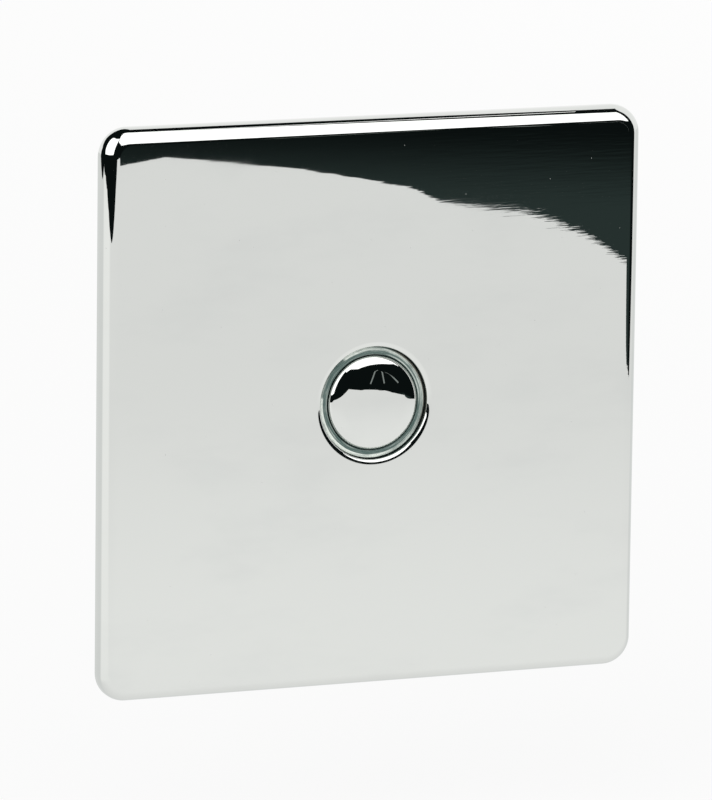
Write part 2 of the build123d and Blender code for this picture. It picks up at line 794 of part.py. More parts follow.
def make_terminal(label, spot):
    """Brass terminal: a blind wire hole from below and a tapped hole from behind."""
    with BuildPart() as terminal:
        with BuildSketch(wall_plane(board_back)):
            with Locations((spot, terminal_bottom)):
                Rectangle(terminal_width, terminal_length, align=(Align.CENTER, Align.MIN))
        extrude(amount=-terminal_height)
        chamfer(terminal.edges().filter_by(Axis.Z), small_edge)
        with BuildSketch(Plane.XY.offset(terminal_bottom)):
            with Locations((spot, -terminal_bore_height)):
                Circle(terminal_bore_radius)
        extrude(amount=terminal_bore_depth, mode=Mode.SUBTRACT)
        with BuildSketch(wall_plane(terminal_back)):
            with Locations((spot, terminal_screw_z)):
                Circle(terminal_screw_radius)
        extrude(amount=terminal_bore_height - terminal_back, mode=Mode.SUBTRACT)
    terminal.part.label = label
    return terminal


terminals = [
    make_terminal(label, spot)
    for label, spot in zip(("live_terminal", "load_terminal", "strapping_terminal"), terminal_spots)
]


def make_clamp_screws(label, spots, screw_z, head_front, tip_height):
    """Slotted clamping screws that face the back, backed out clear of the wire holes."""
    with BuildPart() as screws:
        with BuildSketch(wall_plane(head_front)):
            with Locations(*[(spot, screw_z) for spot in spots]):
                Circle(terminal_head_radius)
        extrude(amount=-terminal_head_height)
        chamfer(screws.faces().group_by(Axis.Y)[-1].edges(), small_edge)
        with BuildSketch(wall_plane(head_front)):
            with Locations(*[(spot, screw_z) for spot in spots]):
                Circle(terminal_screw_radius - terminal_screw_clearance)
        extrude(amount=tip_height - head_front)
        with BuildSketch(wall_plane(head_front - terminal_head_height)):
            with Locations(*[(spot, screw_z) for spot in spots]):
                Rectangle(screw_slot_width, 3 * terminal_head_radius)
        extrude(amount=terminal_head_height / 2, mode=Mode.SUBTRACT)
    screws.part.label = label
    return screws


terminal_screws = make_clamp_screws(
    "terminal_screws",
    terminal_spots,
    terminal_screw_z,
    terminal_back - terminal_head_gap,
    terminal_bore_height - terminal_bore_radius - terminal_tip_gap,
)

# Earth terminal: staked through the frame, with its wire hole from below
earth_back = frame_wall_gap - earth_height
earth_bore_height = frame_wall_gap - earth_bore_floor - earth_bore_radius
with BuildPart() as earth_terminal:
    with BuildSketch(wall_plane(frame_wall_gap)):
        with Locations((earth_x, earth_z)):
            Rectangle(earth_width, earth_length)
    extrude(amount=-earth_height)
    chamfer(earth_terminal.edges().filter_by(Axis.Z), small_edge)
    with BuildSketch(wall_plane(frame_wall_gap)):
        with Locations((earth_x, earth_z)):
            Circle(earth_spigot_radius)
    extrude(amount=frame_sheet - earth_spigot_sink)
    with BuildSketch(Plane.XY.offset(earth_z - earth_length / 2)):
        with Locations((earth_x, -earth_bore_height)):
            Circle(earth_bore_radius)
    extrude(amount=earth_bore_depth, mode=Mode.SUBTRACT)
    with BuildSketch(wall_plane(earth_back)):
        with Locations((earth_x, earth_z)):
            Circle(terminal_screw_radius)
    extrude(amount=earth_bore_height - earth_back, mode=Mode.SUBTRACT)
earth_terminal.part.label = "earth_terminal"

earth_screw = make_clamp_screws(
    "earth_screw",
    [earth_x],
    earth_z,
    earth_back - terminal_head_gap,
    earth_bore_height - earth_bore_radius - terminal_tip_gap,
)

pieces = [
    front_plate,
    plate_liner,
    mounting_frame,
    fixing_screws,
    heat_sink,
    rear_housing,
    housing_screws,
    button_carrier,
    light_ring,
    button_cap,
    button_slider,
    switch_body,
    switch_actuator,
    circuit_board,
    indicator_leds,
    triac,
    triac_pad,
    triac_screw,
    choke_core,
    choke_winding,
    suppression_capacitor,
    smoothing_capacitor,
    fuse,
    dropper_resistor,
    control_chip,
    terminal_block,
    *terminals,
    terminal_screws,
    earth_terminal,
    earth_screw,
]
os.makedirs("parts", exist_ok=True)
for piece in pieces:
    export_step(piece.part, f"parts/{piece.part.label}.step")
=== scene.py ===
"""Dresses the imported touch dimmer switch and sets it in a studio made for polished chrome."""

import logging
import math
from dataclasses import dataclass, field
from enum import Enum
from typing import Iterable, Mapping, Sequence

import bmesh
import bpy
from bpy.types import Material, Mesh, Node, NodeSocket, NodeTree, Object, World
from mathutils import Matrix, Vector
from mathutils.geometry import tessellate_polygon


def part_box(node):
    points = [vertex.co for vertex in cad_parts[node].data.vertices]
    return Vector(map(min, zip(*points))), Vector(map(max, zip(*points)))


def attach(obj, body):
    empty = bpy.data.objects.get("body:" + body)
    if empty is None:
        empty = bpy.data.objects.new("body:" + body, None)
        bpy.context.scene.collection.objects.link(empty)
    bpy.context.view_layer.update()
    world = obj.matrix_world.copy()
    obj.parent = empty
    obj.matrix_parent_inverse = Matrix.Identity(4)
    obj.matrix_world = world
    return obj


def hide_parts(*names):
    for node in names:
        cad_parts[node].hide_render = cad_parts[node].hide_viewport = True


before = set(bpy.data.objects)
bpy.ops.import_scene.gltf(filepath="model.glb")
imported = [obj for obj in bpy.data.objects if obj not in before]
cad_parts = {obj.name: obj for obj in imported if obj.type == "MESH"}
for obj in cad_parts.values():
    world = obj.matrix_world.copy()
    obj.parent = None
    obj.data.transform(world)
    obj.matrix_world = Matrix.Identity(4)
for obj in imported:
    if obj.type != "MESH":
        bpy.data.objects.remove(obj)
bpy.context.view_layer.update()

log = logging.getLogger("touch_dimmer")

MM = 0.001
TOLERANCE = 1e-6
SPOTS_PER_MM = 1e5
NOISE_MIDDLE = 0.5
RING_BORE = 7.15
FRONT = Vector((0.0, -1.0, 0.0))
WHITE = (1.0, 1.0, 1.0)

Colour = tuple[float, float, float]
Pair = tuple[float, float]
Window = tuple[float, float, float, float]
Corner = tuple[Vector, Vector]
ProfilePoint = tuple[float, float, float, float]
Profile = list[ProfilePoint]
Faces = Sequence[Sequence[int]]
Settings = Mapping[str, object] | None
Sockets = Mapping[str | int, object] | None


class Body(Enum):
    """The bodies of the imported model."""

    BASE = "base"
    BUTTON = "button"


# Shader sums and nodes


class Value:
    """A shader socket that can be used in Python sums."""

    def __init__(self, tree: NodeTree, socket: NodeSocket) -> None:
        """Keeps the tree and the output socket that holds the number."""
        self.tree = tree
        self.socket = socket

    def sum(self, operation: str, *others: "Value | float", first: bool = True) -> "Value":
        """Adds one Math node.

        Args:
            operation: Math node operation.
            others: The other operands, as values or numbers.
            first: Whether this value comes before the others.

        Returns:
            The result.
        """
        node = self.tree.nodes.new("ShaderNodeMath")
        node.operation = operation
        for socket, operand in zip(node.inputs, [self, *others] if first else [*others, self]):
            if isinstance(operand, Value):
                self.tree.links.new(operand.socket, socket)
            else:
                socket.default_value = operand
        return Value(self.tree, node.outputs[0])

    def __add__(self, other: "Value | float") -> "Value":
        """Sum."""
        return self.sum("ADD", other)

    def __sub__(self, other: "Value | float") -> "Value":
        """Difference."""
        return self.sum("SUBTRACT", other)

    def __rsub__(self, other: float) -> "Value":
        """Difference with a number on the left."""
        return self.sum("SUBTRACT", other, first=False)

    def __mul__(self, other: "Value | float") -> "Value":
        """Product."""
        return self.sum("MULTIPLY", other)

    def __truediv__(self, other: "Value | float") -> "Value":
        """Quotient."""
        return self.sum("DIVIDE", other)

    def __rtruediv__(self, other: float) -> "Value":
        """Quotient with a number on the left."""
        return self.sum("DIVIDE", other, first=False)

    def __pow__(self, other: float) -> "Value":
        """Power."""
        return self.sum("POWER", other)

    __radd__ = __add__
    __rmul__ = __mul__

    def clamped(self) -> "Value":
        """The value held between 0 and 1."""
        return self.sum("MINIMUM", 1.0).sum("MAXIMUM", 0.0)

    def ramp(self, low: float, high: float) -> "Value":
        """Smooth step.

        Args:
            low: Where it leaves 0.
            high: Where it reaches 1.

        Returns:
            The step.
        """
        node = self.tree.nodes.new("ShaderNodeMapRange")
        node.interpolation_type = "SMOOTHSTEP"
        self.tree.links.new(self.socket, node.inputs["Value"])
        node.inputs["From Min"].default_value = low
        node.inputs["From Max"].default_value = high
        return Value(self.tree, node.outputs["Result"])

    def window(self, limits: Window) -> "Value":
        """1 between the inner two limits, falling to 0 at the outer two."""
        return self.ramp(*limits[:2]) * (1.0 - self.ramp(*limits[2:]))

    def stripe(self, middle: float, halves: Pair) -> "Value":
        """1 near the middle, falling to 0 from the first half width to the second."""
        return 1.0 - (self - middle).sum("ABSOLUTE").ramp(*halves)


class NodeMaker:
    """Adds nodes to one tree."""

    def __init__(self, tree: NodeTree) -> None:
        """Keeps the tree."""
        self.tree = tree

    def node(self, kind: str, settings: Settings = None, sockets: Sockets = None) -> Node:
        """Adds a node.

        Args:
            kind: Type name of the node.
            settings: Properties that are set first.
            sockets: Values or links of the inputs, by name or place; a list gives several links.

        Returns:
            The new node.
        """
        node = self.tree.nodes.new(kind)
        for key, setting in (settings or {}).items():
            setattr(node, key, setting)
        for key, given in (sockets or {}).items():
            for one in given if isinstance(given, list) else [given]:
                self.feed(node.inputs[key], one)
        return node

    def out(self, kind: str, settings: Settings = None, sockets: Sockets = None) -> NodeSocket:
        """First output of a node that is added."""
        return self.node(kind, settings, sockets).outputs[0]

    def feed(self, socket: NodeSocket, given: object) -> None:
        """Links an input or sets its value.

        Args:
            socket: The input.
            given: Value, socket or plain setting.
        """
        if isinstance(given, Value):
            given = given.socket
        if isinstance(given, NodeSocket):
            self.tree.links.new(given, socket)
        elif socket.type == "RGBA" and len(given) == 3:
            socket.default_value = (*given, 1.0)
        else:
            socket.default_value = given

    def value(self, node: Node, output: str | int = 0) -> Value:
        """Output of a node as a value."""
        return Value(self.tree, node.outputs[output])


class Paint(NodeMaker):
    """Builds one node tree for a material or the world."""

    mix_colours = (6, 7)
    mix_result = 2
    speck_core = 0.6

    def __init__(self, owner: Material | World) -> None:
        """Keeps the owner and empties its tree.

        Args:
            owner: Material or world whose nodes are built.
        """
        owner.use_nodes = True
        self.owner = owner
        super().__init__(owner.node_tree)
        self.tree.nodes.clear()

    def leave_out_of_lamps(self) -> None:
        """Keeps a glow that only shows itself out of the lamps that light other things."""
        self.owner.cycles.emission_sampling = "NONE"

    def coordinates(self, *axes: str) -> list[Value]:
        """Object coordinates in millimetres.

        Args:
            axes: Names of the axes.

        Returns:
            One value for each axis.
        """
        where = self.node("ShaderNodeTexCoord")
        split = self.node("ShaderNodeSeparateXYZ", None, {"Vector": where.outputs["Object"]})
        return [self.value(split, axis) / MM for axis in axes]

    def place(self, pitch: Colour) -> NodeSocket:
        """Object coordinates counted in pattern steps.

        Args:
            pitch: Size of one step along x, y and z, in millimetres.

        Returns:
            Vector socket.
        """
        where = self.node("ShaderNodeTexCoord")
        scale = tuple(1.0 / (step * MM) for step in pitch)
        return self.out("ShaderNodeMapping", None, {"Vector": where.outputs["Object"], "Scale": scale})

    def noise(self, place: NodeSocket, detail: float, roughness: float) -> Value:
        """Soft noise with steps of about 1.

        Args:
            place: Vector socket.
            detail: Number of octaves.
            roughness: Weight of the finer octaves.

        Returns:
            Noise from about 0 to 1.
        """
        sockets = {"Vector": place, "Scale": 1.0, "Detail": detail, "Roughness": roughness}
        return self.value(self.node("ShaderNodeTexNoise", None, sockets), "Fac")

    def specks(self, pitch: float, radius: float) -> Value:
        """Small round specks on the front, one in each pattern cell.

        Args:
            pitch: Cell size in millimetres.
            radius: Radius of a speck in millimetres.

        Returns:
            1 in a speck and 0 outside.
        """
        split = self.node("ShaderNodeSeparateXYZ", None, {"Vector": self.place((pitch,) * 3)})
        front = self.out("ShaderNodeCombineXYZ", None, {"X": split.outputs["X"], "Y": split.outputs["Z"]})
        settings = {"voronoi_dimensions": "2D"}
        cells = self.node("ShaderNodeTexVoronoi", settings, {"Vector": front, "Scale": 1.0})
        share = radius / pitch
        return 1.0 - self.value(cells, "Distance").ramp(self.speck_core * share, share)

    def blend(self, share: Value, first: Colour | NodeSocket, second: Colour | NodeSocket) -> NodeSocket:
        """Mixes two colours.

        Args:
            share: 0 for the first colour, 1 for the second.
            first: Linear colour or colour socket.
            second: The other one.

        Returns:
            Colour socket.
        """
        sockets = {0: share.clamped(), **dict(zip(self.mix_colours, (first, second)))}
        return self.node("ShaderNodeMix", {"data_type": "RGBA"}, sockets).outputs[self.mix_result]

    def bump(self, height: Value, depth: float) -> NodeSocket:
        """Normal from a height of 0 to 1, where 1 is the depth in millimetres."""
        sockets = {"Strength": 1.0, "Distance": depth * MM, "Height": height}
        return self.out("ShaderNodeBump", None, sockets)

    def rays(self) -> tuple[Value, Value]:
        """Tells the rays apart.

        Returns:
            1 for a ray of the lens; 1 for such a ray and for those that mirrors and clear parts send on.
        """
        path = self.node("ShaderNodeLightPath")
        names = ("Is Camera Ray", "Is Glossy Ray", "Is Transmission Ray")
        lens, mirrored, passed = (self.value(path, name) for name in names)
        return lens, (lens + mirrored + passed).clamped()

    def finish(self, shader: NodeSocket) -> None:
        """Links a shader to the output."""
        kind = "World" if isinstance(self.owner, World) else "Material"
        self.node(f"ShaderNodeOutput{kind}", None, {"Surface": shader})

    def principled(self, sockets: Sockets) -> None:
        """Ends the tree in one Principled shader with these inputs."""
        self.finish(self.out("ShaderNodeBsdfPrincipled", None, sockets))


# Finishes


@dataclass(frozen=True)
class Finish:
    """A surface finish, made once and shared by the pieces that have it."""

    name: str

    def material(self) -> Material:
        """Builds the material on first use.

        Returns:
            The material.
        """
        known = bpy.data.materials.get(self.name)
        if known is not None:
            return known
        material = bpy.data.materials.new(self.name)
        self.build(Paint(material))
        return material

    def build(self, paint: Paint) -> None:
        """Builds the nodes.

        Args:
            paint: Empty tree.
        """
        raise NotImplementedError


@dataclass(frozen=True)
class PolishedChrome(Finish):
    """Bright chrome plate: faint polishing ripple, brush lines on the right, thin haze and a little dust."""

    tint: Colour = (0.747, 0.763, 0.739)
    haze_tint: Colour = (0.715, 0.732, 0.712)
    ripple_pitch: Colour = (9.0, 9.0, 1.6)
    ripple_depth: float = 0.00028
    brush_pitch: Colour = (5.0, 5.0, 0.3)
    brush_share: float = 1.9
    brush_side: Pair = (-8.0, 30.0)
    haze_pitch: Colour = (30.0, 30.0, 12.0)
    haze_limits: Pair = (0.45, 0.75)
    roughness: float = 0.006
    haze_roughness: float = 0.018
    dust_pitch: float = 10.0
    dust_radius: float = 0.055
    dust_roughness: float = 0.55

    def build(self, paint: Paint) -> None:
        """Builds the nodes.

        Args:
            paint: Empty tree.
        """
        haze = paint.noise(paint.place(self.haze_pitch), detail=4.0, roughness=0.6).ramp(*self.haze_limits)
        ripple, brush = (
            paint.noise(paint.place(pitch), detail=2.0, roughness=0.5)
            for pitch in (self.ripple_pitch, self.brush_pitch)
        )
        (x,) = paint.coordinates("X")
        brushed = x.ramp(*self.brush_side) * self.brush_share
        dulled = haze * (self.haze_roughness - self.roughness)
        dust = paint.specks(self.dust_pitch, self.dust_radius)
        paint.principled({
            "Base Color": paint.blend(haze, self.tint, self.haze_tint),
            "Metallic": 1.0,
            "Roughness": dulled + dust * self.dust_roughness + self.roughness,
            "Normal": paint.bump(ripple + brush * brushed, self.ripple_depth),
        })


@dataclass(frozen=True)
class ClearMoulding(Finish):
    """Green-grey acrylic light guide with painted light and shade: a painted pale band of caught light,
    painted shade, a painted shadow, a painted dark line at each edge, thin painted glints and a painted glow
    run round it, over fine turned lines that are partly real bumps and partly painted light.

    Turns are degrees from +X towards +Z, places are shares of the ring's width from the bore outwards, and
    limits without places are cosines of the angle from a turn.
    """

    # colours of the ring's zones: deep is its dark green where no painted light falls, caught is painted
    # caught light
    deep: Colour = (0.080, 0.125, 0.113)
    caught: Colour = (0.80, 0.84, 0.79)
    # painted shade: the dark line at the ring's inner and outer edge, where the gaps to the cap and the plate
    # lie in shade
    rim: Colour = (0.012, 0.017, 0.016)
    shadow: Colour = (0.10, 0.09, 0.072)
    # painted glow: the ring is no lamp, and these emission colours stand in for light caught in the acrylic
    # and for its shade
    deep_glow: Colour = (0.022, 0.040, 0.036)
    caught_glow: Colour = (0.26, 0.285, 0.26)
    edge_shade_glow: Colour = (0.004, 0.006, 0.006)
    shadow_glow: Colour = (0.030, 0.027, 0.021)
    width: float = 1.3
    band_place: float = 0.74
    band_drift: float = 0.10
    band_half: Pair = (0.14, 0.25)
    edge_shade_places: Window = (0.04, 0.16, 0.92, 1.0)
    shade_turn: float = 148.5
    shade_limits: Pair = (0.895, 0.93)
    # painted shade: sectors where the painted band of caught light is dimmer
    shaded_band_turns: tuple[float, ...] = (-38.0, 8.0, 66.0)
    weak_limits: Pair = (0.70, 0.97)
    shaded_band_share: float = 0.6
    shadow_turn: float = 18.0
    shadow_limits: Pair = (0.50, 0.85)
    shadow_place: Pair = (0.70, 0.82)
    shadow_share: float = 0.9
    # painted highlight: a thin light line in the inner half of the ring
    glint_line_place: float = 0.22
    glint_line_half: Pair = (0.02, 0.08)
    glint_line_turn: float = 35.0
    glint_line_share: float = 0.55
    # turned lines: real bumps and roughness, and also painted light and dark streaks in the colour
    line_pitch: float = 0.17
    line_turns: float = 1.5
    line_light_share: float = 1.75
    line_depth: float = 0.006
    # patchy painted light along the ring
    patch_steps: float = 2.0
    patch_turns: float = 4.0
    light_patch_share: float = 1.5
    light_patch_ground: float = 0.35
    roughness: float = 0.08
    line_roughness: float = 0.1
    transmission: float = 0.15
    ior: float = 1.49

    def build(self, paint: Paint) -> None:
        """Builds the nodes.

        Args:
            paint: Empty tree.
        """
        x, z = paint.coordinates("X", "Z")
        reach = (x * x + z * z) ** 0.5
        across = (reach - RING_BORE) / self.width
        side, lift = x / reach, z / reach

        def facing(turn: float, limits: Pair) -> Value:
            """1 near a turn and 0 away from it."""
            angle = math.radians(turn)
            return (side * math.cos(angle) + lift * math.sin(angle)).ramp(*limits)

        def streaks(steps: Value, turns: float) -> Value:
            """Noise laid along the ring."""
            sockets = {"X": steps, "Y": side * turns, "Z": lift * turns}
            return paint.noise(paint.out("ShaderNodeCombineXYZ", None, sockets), detail=3.0, roughness=0.6)

        band = (across + side * self.band_drift).stripe(self.band_place, self.band_half)
        # painted shade: the band is taken away in one sector and dimmed in others
        band = band * (1.0 - facing(self.shade_turn, self.shade_limits))
        for turn in self.shaded_band_turns:
            band = band * (1.0 - facing(turn, self.weak_limits) * self.shaded_band_share)
        # painted light: the turned lines and the patchy noise raise and lower the painted light level,
        # besides the lines' real bumps
        lines = streaks(reach / self.line_pitch, self.line_turns)
        patches = streaks(across * self.patch_steps, self.patch_turns)
        level = band + (lines - NOISE_MIDDLE) * self.line_light_share
        level = level + (patches - NOISE_MIDDLE) * self.light_patch_share * (band + self.light_patch_ground)
        # painted highlight: a thin light line added to the painted light level, strongest on one side of the
        # ring
        thread = across.stripe(self.glint_line_place, self.glint_line_half)
        level = level + thread * facing(self.glint_line_turn, self.weak_limits) * self.glint_line_share
        shaded = facing(self.shadow_turn, self.shadow_limits) * across.ramp(*self.shadow_place)
        shaded = shaded * self.shadow_share
        # painted shade: 1 across the middle of the ring and 0 at its inner and outer edge, where the dark
        # line is painted
        edge = across.window(self.edge_shade_places)

        def layers(rim: Colour, deep: Colour, caught: Colour, shadow: Colour) -> NodeSocket:
            """Colour from the four colours of the ring's zones: painted edge shade, the deep tone, painted
            caught light and painted shadow.
            """
            return paint.blend(edge, rim, paint.blend(shaded, paint.blend(level, deep, caught), shadow))

        paint.principled({
            "Base Color": layers(self.rim, self.deep, self.caught, self.shadow),
            # painted glow: the ring is no lamp; this emission brightens the painted caught light and shade
            "Emission Color": layers(self.edge_shade_glow, self.deep_glow, self.caught_glow, self.shadow_glow),
            "Emission Strength": 1.0,
            "Roughness": lines * self.line_roughness + self.roughness,
            "Transmission Weight": self.transmission,
            "IOR": self.ior,
            "Normal": paint.bump(lines, self.line_depth),
        })
        paint.leave_out_of_lamps()


@dataclass(frozen=True)
class MouldedPlastic(Finish):
    """Moulded plastic with a fine spark-eroded grain, slow colour drift and dull patches."""

    colour: Colour = (0.03, 0.03, 0.032)
    pale: Colour = (0.045, 0.045, 0.047)
    grain_pitch: float = 0.35
    grain_depth: float = 0.012
    roughness: float = 0.45
    roughness_drift: float = 0.15
    drift_pitch: float = 14.0
    drift_limits: Pair = (0.3, 0.7)
    drift_share: float = 0.7

    def build(self, paint: Paint) -> None:
        """Builds the nodes.

        Args:
            paint: Empty tree.
        """
        drift = paint.noise(paint.place((self.drift_pitch,) * 3), detail=4.0, roughness=0.6)
        drift = drift.ramp(*self.drift_limits)
        grain = paint.noise(paint.place((self.grain_pitch,) * 3), detail=2.0, roughness=0.55)
        share = drift * self.drift_share + grain * (1.0 - self.drift_share)
        paint.principled({
            "Base Color": paint.blend(share, self.colour, self.pale),
            "Roughness": drift * self.roughness_drift + self.roughness,
            "Normal": paint.bump(grain, self.grain_depth),
        })


@dataclass(frozen=True)
class PlatedMetal(Finish):
    """Plated or bare metal: cloudy tint, brushed or rolled lines and uneven gloss."""

    colour: Colour = (0.55, 0.55, 0.54)
    stain: Colour = (0.45, 0.44, 0.40)
    line_pitch: Colour = (12.0, 12.0, 0.25)
    line_depth: float = 0.0015
    cloud_pitch: float = 7.0
    roughness: float = 0.28
    cloud_roughness: float = 0.16
    line_roughness: float = 0.08
    cloud_limits: Pair = (0.3, 0.72)
    cloud_share: float = 0.8

    def build(self, paint: Paint) -> None:
        """Builds the nodes.

        Args:
            paint: Empty tree.
        """
        cloud = paint.noise(paint.place((self.cloud_pitch,) * 3), detail=5.0, roughness=0.6)
        cloud = cloud.ramp(*self.cloud_limits)
        lines = paint.noise(paint.place(self.line_pitch), detail=3.0, roughness=0.6)
        share = cloud * self.cloud_share + lines * (1.0 - self.cloud_share)
        paint.principled({
            "Base Color": paint.blend(share, self.colour, self.stain),
            "Metallic": 1.0,
            "Roughness": cloud * self.cloud_roughness + lines * self.line_roughness + self.roughness,
            "Normal": paint.bump(lines, self.line_depth),
        })


@dataclass(frozen=True)
class BoundWire(Finish):
    """Enamelled winding: turns run round the core, glossy on top, with painted shade darkening the copper
    between them.
    """

    colour: Colour = (0.60, 0.24, 0.09)
    # painted shade: the darker colour between the turns
    groove_shade: Colour = (0.20, 0.07, 0.03)
    turn_pitch: float = 0.55
    turn_depth: float = 0.08
    unevenness: float = 0.4
    metallic: float = 0.7
    groove_roughness: float = 0.5
    polish: float = 0.25

    def build(self, paint: Paint) -> None:
        """Builds the nodes.

        Args:
            paint: Empty tree.
        """
        settings = {"wave_type": "BANDS", "bands_direction": "X"}
        sockets = {"Vector": paint.place((self.turn_pitch,) * 3), "Scale": 1.0, "Distortion": self.unevenness}
        turns = paint.value(paint.node("ShaderNodeTexWave", settings, sockets), "Fac")
        paint.principled({
            # painted shade between the turns; the bump is real
            "Base Color": paint.blend(turns, self.groove_shade, self.colour),
            "Metallic": turns * self.metallic,
            "Roughness": self.groove_roughness - turns * self.polish,
            "Normal": paint.bump(turns, self.turn_depth),
        })


@dataclass(frozen=True)
class Laminate(Finish):
    """Printed circuit laminate: woven glass under green lacquer."""

    colour: Colour = (0.02, 0.12, 0.05)
    pale: Colour = (0.04, 0.18, 0.08)
    weave_pitch: float = 0.8
    weave_depth: float = 0.01
    weave_share: float = 0.5
    drift_pitch: float = 9.0
    roughness: float = 0.25
    roughness_drift: float = 0.2

    def build(self, paint: Paint) -> None:
        """Builds the nodes.

        Args:
            paint: Empty tree.
        """
        place = {"Vector": paint.place((self.weave_pitch,) * 3)}
        waves = [paint.node("ShaderNodeTexWave", {"bands_direction": axis}, place) for axis in "XZ"]
        weave = paint.value(waves[0], "Fac") * paint.value(waves[1], "Fac")
        drift = paint.noise(paint.place((self.drift_pitch,) * 3), detail=3.0, roughness=0.5)
        share = weave * self.weave_share + drift * (1.0 - self.weave_share)
        paint.principled({
            "Base Color": paint.blend(share, self.colour, self.pale),
            "Roughness": drift * self.roughness_drift + self.roughness,
            "Normal": paint.bump(weave, self.weave_depth),
        })


class Finishes:
    """All the finishes of the switch."""

    chrome = PolishedChrome("polished chrome")
    clear = ClearMoulding("clear acrylic")
    liner = MouldedPlastic("black nylon")
    carrier = MouldedPlastic("carrier nylon", roughness=0.35)
    housing = MouldedPlastic("charcoal housing", (0.028, 0.029, 0.031), (0.05, 0.051, 0.053), 0.45, 0.02, 0.5)
    block = MouldedPlastic("grey terminal block", (0.17, 0.18, 0.19), (0.23, 0.24, 0.25), 0.4, 0.01, 0.42)
    slider = MouldedPlastic("natural nylon", (0.62, 0.60, 0.54), (0.72, 0.70, 0.64), 0.5, 0.006, 0.38)
    case = MouldedPlastic("component case", (0.035, 0.034, 0.034), (0.06, 0.06, 0.06), 0.3, 0.006, 0.4)
    pad = MouldedPlastic("pad silicone", (0.42, 0.44, 0.46), (0.5, 0.52, 0.54), 0.25, 0.01, 0.6)
    ceramic = MouldedPlastic("fuse ceramic", (0.70, 0.67, 0.60), (0.8, 0.78, 0.72), 0.3, 0.004, 0.3)
    ferrite = MouldedPlastic("ferrite", (0.05, 0.05, 0.052), (0.085, 0.083, 0.08), 0.2, 0.02, 0.65)
    lens = MouldedPlastic("lamp lens", (0.72, 0.76, 0.74), (0.82, 0.86, 0.84), 0.6, 0.002, 0.12)
    steel = PlatedMetal("zinc steel", (0.58, 0.58, 0.56), (0.46, 0.45, 0.40))
    screw = PlatedMetal("plated screw", (0.64, 0.63, 0.60), (0.50, 0.48, 0.43), (0.3,) * 3, 0.001, 2.0, 0.22)
    sink = PlatedMetal(
        "sink aluminium", (0.68, 0.69, 0.70), (0.58, 0.59, 0.60), (14.0, 14.0, 0.3), 0.003, 9.0, 0.34
    )
    brass = PlatedMetal(
        "terminal brass", (0.70, 0.50, 0.20), (0.52, 0.35, 0.14), (0.25, 4.0, 4.0), 0.003, 3.0, 0.26
    )
    copper = BoundWire("copper wire")
    board = Laminate("board laminate")


# Mesh drafting


@dataclass
class Shell:
    """Faces of one piece in millimetres, each corner with the normal of the true surface."""

    points: list[Vector] = field(default_factory=list)
    faces: list[tuple[int, ...]] = field(default_factory=list)
    normals: list[tuple[Vector, ...]] = field(default_factory=list)
    known: dict[tuple[int, ...], int] = field(default_factory=dict)

    def spot(self, point: Vector) -> int:
        """Index of a point, shared with any point at the same place.

        Args:
            point: Place in millimetres.

        Returns:
            Vertex index.
        """
        key = tuple(round(part * SPOTS_PER_MM) for part in point)
        if key not in self.known:
            self.known[key] = len(self.points)
            self.points.append(point)
        return self.known[key]

    def face(self, corners: Iterable[Corner]) -> None:
        """Adds one face, turned the way that its corner normals look.

        Args:
            corners: Places and normals in order round the face.
        """
        spots: list[int] = []
        normals: list[Vector] = []
        for point, normal in corners:
            spot = self.spot(point)
            if spot not in spots:
                spots.append(spot)
                normals.append(normal)
        if len(spots) < 3:
            return
        area = Vector()
        origin = self.points[spots[0]]
        for one, two in zip(spots[1:], spots[2:]):
            area += (self.points[one] - origin).cross(self.points[two] - origin)
        if area.dot(sum(normals, Vector())) < 0:
            spots.reverse()
            normals.reverse()
        self.faces.append(tuple(spots))
        self.normals.append(tuple(normals))

    def strip(self, first: Sequence[Corner], second: Sequence[Corner], gap: int | None = None) -> None:
        """Adds the faces between two closed rows.

        Args:
            first: One row of corners.
            second: The next row, with as many corners.
            gap: Step along the row that is left open.
        """
        for step in range(len(first)):
            after = (step + 1) % len(first)
            if step != gap:
                self.face((first[step], first[after], second[after], second[step]))

    def flat(self, loops: Sequence[Sequence[Vector]], normal: Vector) -> None:
        """Fills a flat outline that may have holes.

        Args:
            loops: Outer loop first, then the holes.
            normal: The way that the face looks.
        """
        places = [point for loop in loops for point in loop]
        for triangle in tessellate_polygon([list(loop) for loop in loops]):
            self.face([(places[index], normal) for index in triangle])

    def turned(self, stretches: Sequence[Profile], steps: int) -> None:
        """Turns a section round the button's axis.

        Args:
            stretches: Stretches of the section.
            steps: Steps round the axis.
        """
        for stretch in stretches:
            rows = [turned_row(point, steps) for point in stretch]
            for first, second in zip(rows, rows[1:]):
                self.strip(first, second)

    def piece(self, name: str, finish: Finish) -> Object:
        """Makes the object.

        Args:
            name: Name of the piece.
            finish: Its finish.

        Returns:
            The object, linked to the scene.
        """
        made = placed_mesh(name, self.points, self.faces, finish)
        made.data.polygons.foreach_set("use_smooth", [True] * len(self.faces))
        made.data.normals_split_custom_set([normal for face in self.normals for normal in face])
        return made


def placed_mesh(name: str, points: Sequence[Vector], faces: Faces, finish: Finish) -> Object:
    """Makes a mesh object at the origin.

    Args:
        name: Name of the object.
        points: Corners in millimetres.
        faces: Corner indices of each face.
        finish: Its finish.

    Returns:
        The object, linked to the scene.
    """
    mesh = bpy.data.meshes.new(name)
    mesh.from_pydata([point * MM for point in points], [], faces)
    mesh.materials.append(finish.material())
    return linked(bpy.data.objects.new(name, mesh))


def linked(made: Object) -> Object:
    """Links an object to the scene and hands it back."""
    bpy.context.scene.collection.objects.link(made)
    return made


def radial(turn: float) -> Vector:
    """Direction away from the button's axis, by its angle from +X towards +Z."""
    return Vector((math.cos(turn), 0.0, math.sin(turn)))


